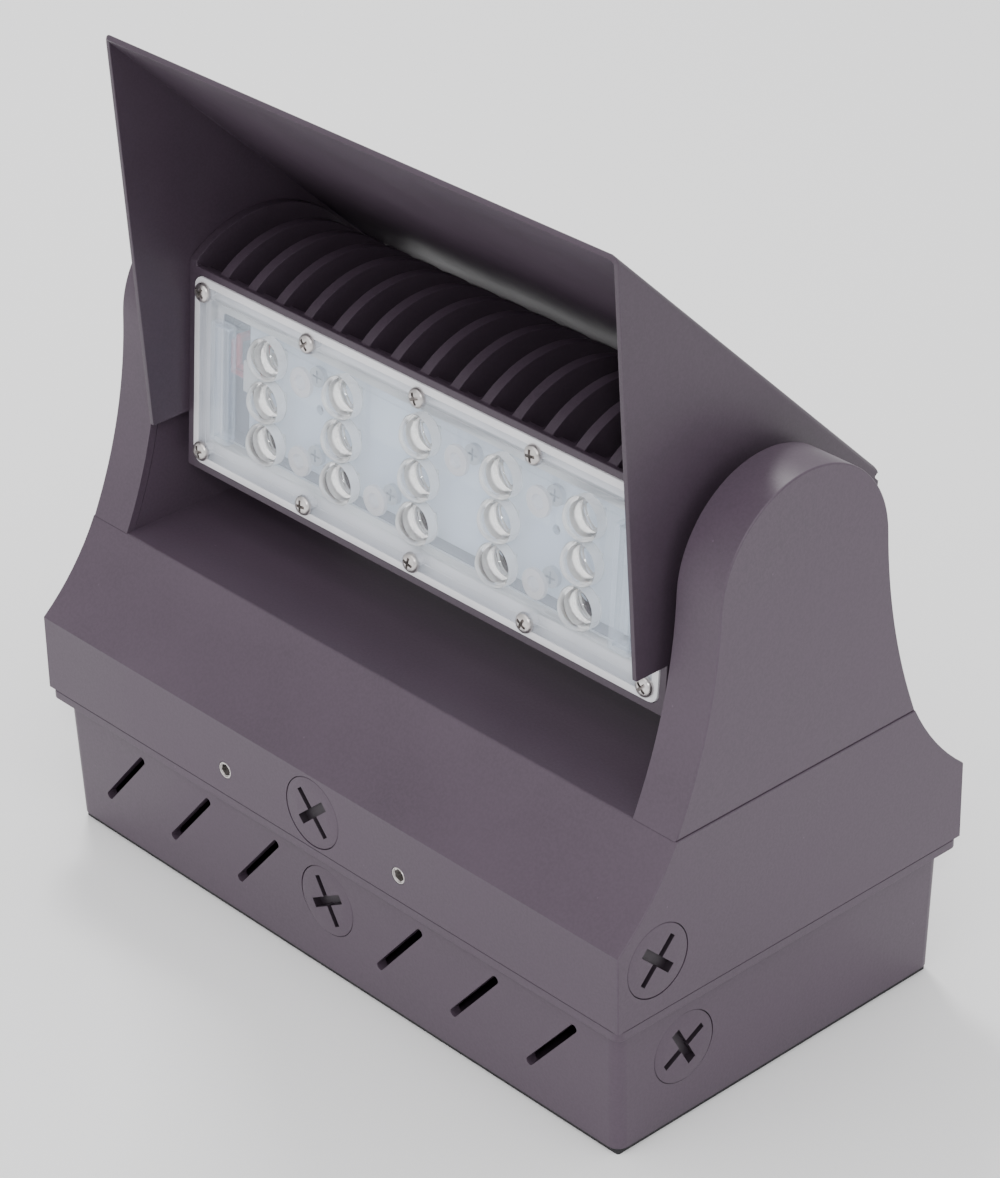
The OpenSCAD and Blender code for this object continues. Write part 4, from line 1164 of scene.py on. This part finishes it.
# Each soft light: its power's setting, its width and length, and its place, in metres
LIGHTS = {
    "overhead_light": ("key_power", (1.6, 1.3), (0.2, -0.3, 1.3)),
    "side_light": ("side_power", (0.9, 0.9), (1.3, -0.15, 0.55)),
    "glint_light": ("glint_power", (0.16, 0.16), (1.0, -0.9, 1.1)),
    "front_light": ("front_power", (1.4, 0.9), (-0.15, -1.5, 0.45)),
    "rim_light": ("rim_power", (0.3, 0.3), (-0.85, 0.5, 1.3)),
}
LIGHTS_AIM = (0, 0, 0.12)
FLOOR_SIZE = 40


def camera_matrix():
    """The camera's place, from its turn round the light, its height, and its slight roll."""
    turn = (math.sin(CAMERA_AZIMUTH), math.cos(CAMERA_AZIMUTH))
    lift = (math.sin(CAMERA_ELEVATION), math.cos(CAMERA_ELEVATION))
    back = Vector((turn[0] * lift[1], -turn[1] * lift[1], lift[0]))
    level = Vector((turn[1], turn[0], 0))
    upright = back.cross(level)
    right = level * math.cos(CAMERA_ROLL) + upright * math.sin(CAMERA_ROLL)
    up = upright * math.cos(CAMERA_ROLL) - level * math.sin(CAMERA_ROLL)
    turn_to = Matrix((right, up, back)).transposed().to_4x4()
    return moved_by(*CAMERA_AT) @ turn_to


def soft_light(name, power, size, at):
    """A square or oblong light that looks at the middle of the piece."""
    bpy.ops.object.light_add(type="AREA", location=at)
    light = bpy.context.object
    light.name = name
    light.data.shape = "RECTANGLE"
    light.data.size, light.data.size_y = size
    light.data.energy = power
    light.rotation_euler = (Vector(at) - Vector(LIGHTS_AIM)).to_track_quat("Z", "Y").to_euler()


class WALLPACK_OT_stage(PieceOperator, bpy.types.Operator):
    """Set out the floor, the soft lights and the camera"""

    bl_idname = "wallpack.stage"
    bl_label = "Stage"

    def build(self, sizes, look):
        deselect()
        bpy.ops.mesh.primitive_plane_add(size=FLOOR_SIZE)
        floor = bpy.context.object
        floor.name = "studio_floor"
        paper = Shader("studio_paper", Roughness=0.85, Specular_IOR_Level=0.1)
        tone = tuple(look.floor_colour) + (1.0,)
        paper.colour(paper.mix(paper.noise(3, 2), shade(tone, 0.99), tone))
        floor.data.materials.append(paper.material)

        world = bpy.data.worlds.new("studio_air")
        bpy.context.scene.world = world
        world.use_nodes = True
        sky = world.node_tree.nodes["Background"]
        sky.inputs["Color"].default_value = (1, 1, 1, 1)
        sky.inputs["Strength"].default_value = look.sky_strength

        for name, (power, size, at) in LIGHTS.items():
            soft_light(name, getattr(look, power), size, at)

        bpy.ops.object.camera_add()
        camera = bpy.context.object
        camera.matrix_world = camera_matrix()
        camera.data.sensor_fit = "VERTICAL"
        camera.data.sensor_height = SENSOR
        camera.data.lens = CAMERA_FOCAL / IMAGE_TALL * SENSOR
        camera.data.clip_start = CLIP_START
        camera.data.clip_end = CLIP_END
        bpy.context.scene.camera = camera


# Add-on

OPERATORS = (
    WALLPACK_OT_finish_frame, WALLPACK_OT_castings, WALLPACK_OT_finned_head, WALLPACK_OT_hood,
    WALLPACK_OT_lens_cover, WALLPACK_OT_lens_domes, WALLPACK_OT_led_packages, WALLPACK_OT_screws,
    WALLPACK_OT_entry_plugs, WALLPACK_OT_stage,
)


class WALLPACK_PT_panel(bpy.types.Panel):
    bl_idname = "WALLPACK_PT_panel"
    bl_label = "Wall pack light"
    bl_space_type = "VIEW_3D"
    bl_region_type = "UI"
    bl_category = "Wall pack light"

    def draw(self, context):
        for group in (context.scene.wall_pack_sizes, context.scene.wall_pack_look):
            box = self.layout.box()
            for key in group.bl_rna.properties.keys():
                if key not in {"rna_type", "name"}:
                    box.prop(group, key)
        for operator in OPERATORS:
            self.layout.operator(operator.bl_idname)


CLASSES = (WallPackSizes, WallPackLook) + OPERATORS + (WALLPACK_PT_panel,)


def register():
    for cls in CLASSES:
        bpy.utils.register_class(cls)
    bpy.types.Scene.wall_pack_sizes = PointerProperty(type=WallPackSizes)
    bpy.types.Scene.wall_pack_look = PointerProperty(type=WallPackLook)


def unregister():
    del bpy.types.Scene.wall_pack_look
    del bpy.types.Scene.wall_pack_sizes
    for cls in reversed(CLASSES):
        bpy.utils.unregister_class(cls)


def main():
    register()
    for operator in OPERATORS:
        group, name = operator.bl_idname.split(".")
        getattr(getattr(bpy.ops, group), name)()


if __name__ == "__main__":
    main()
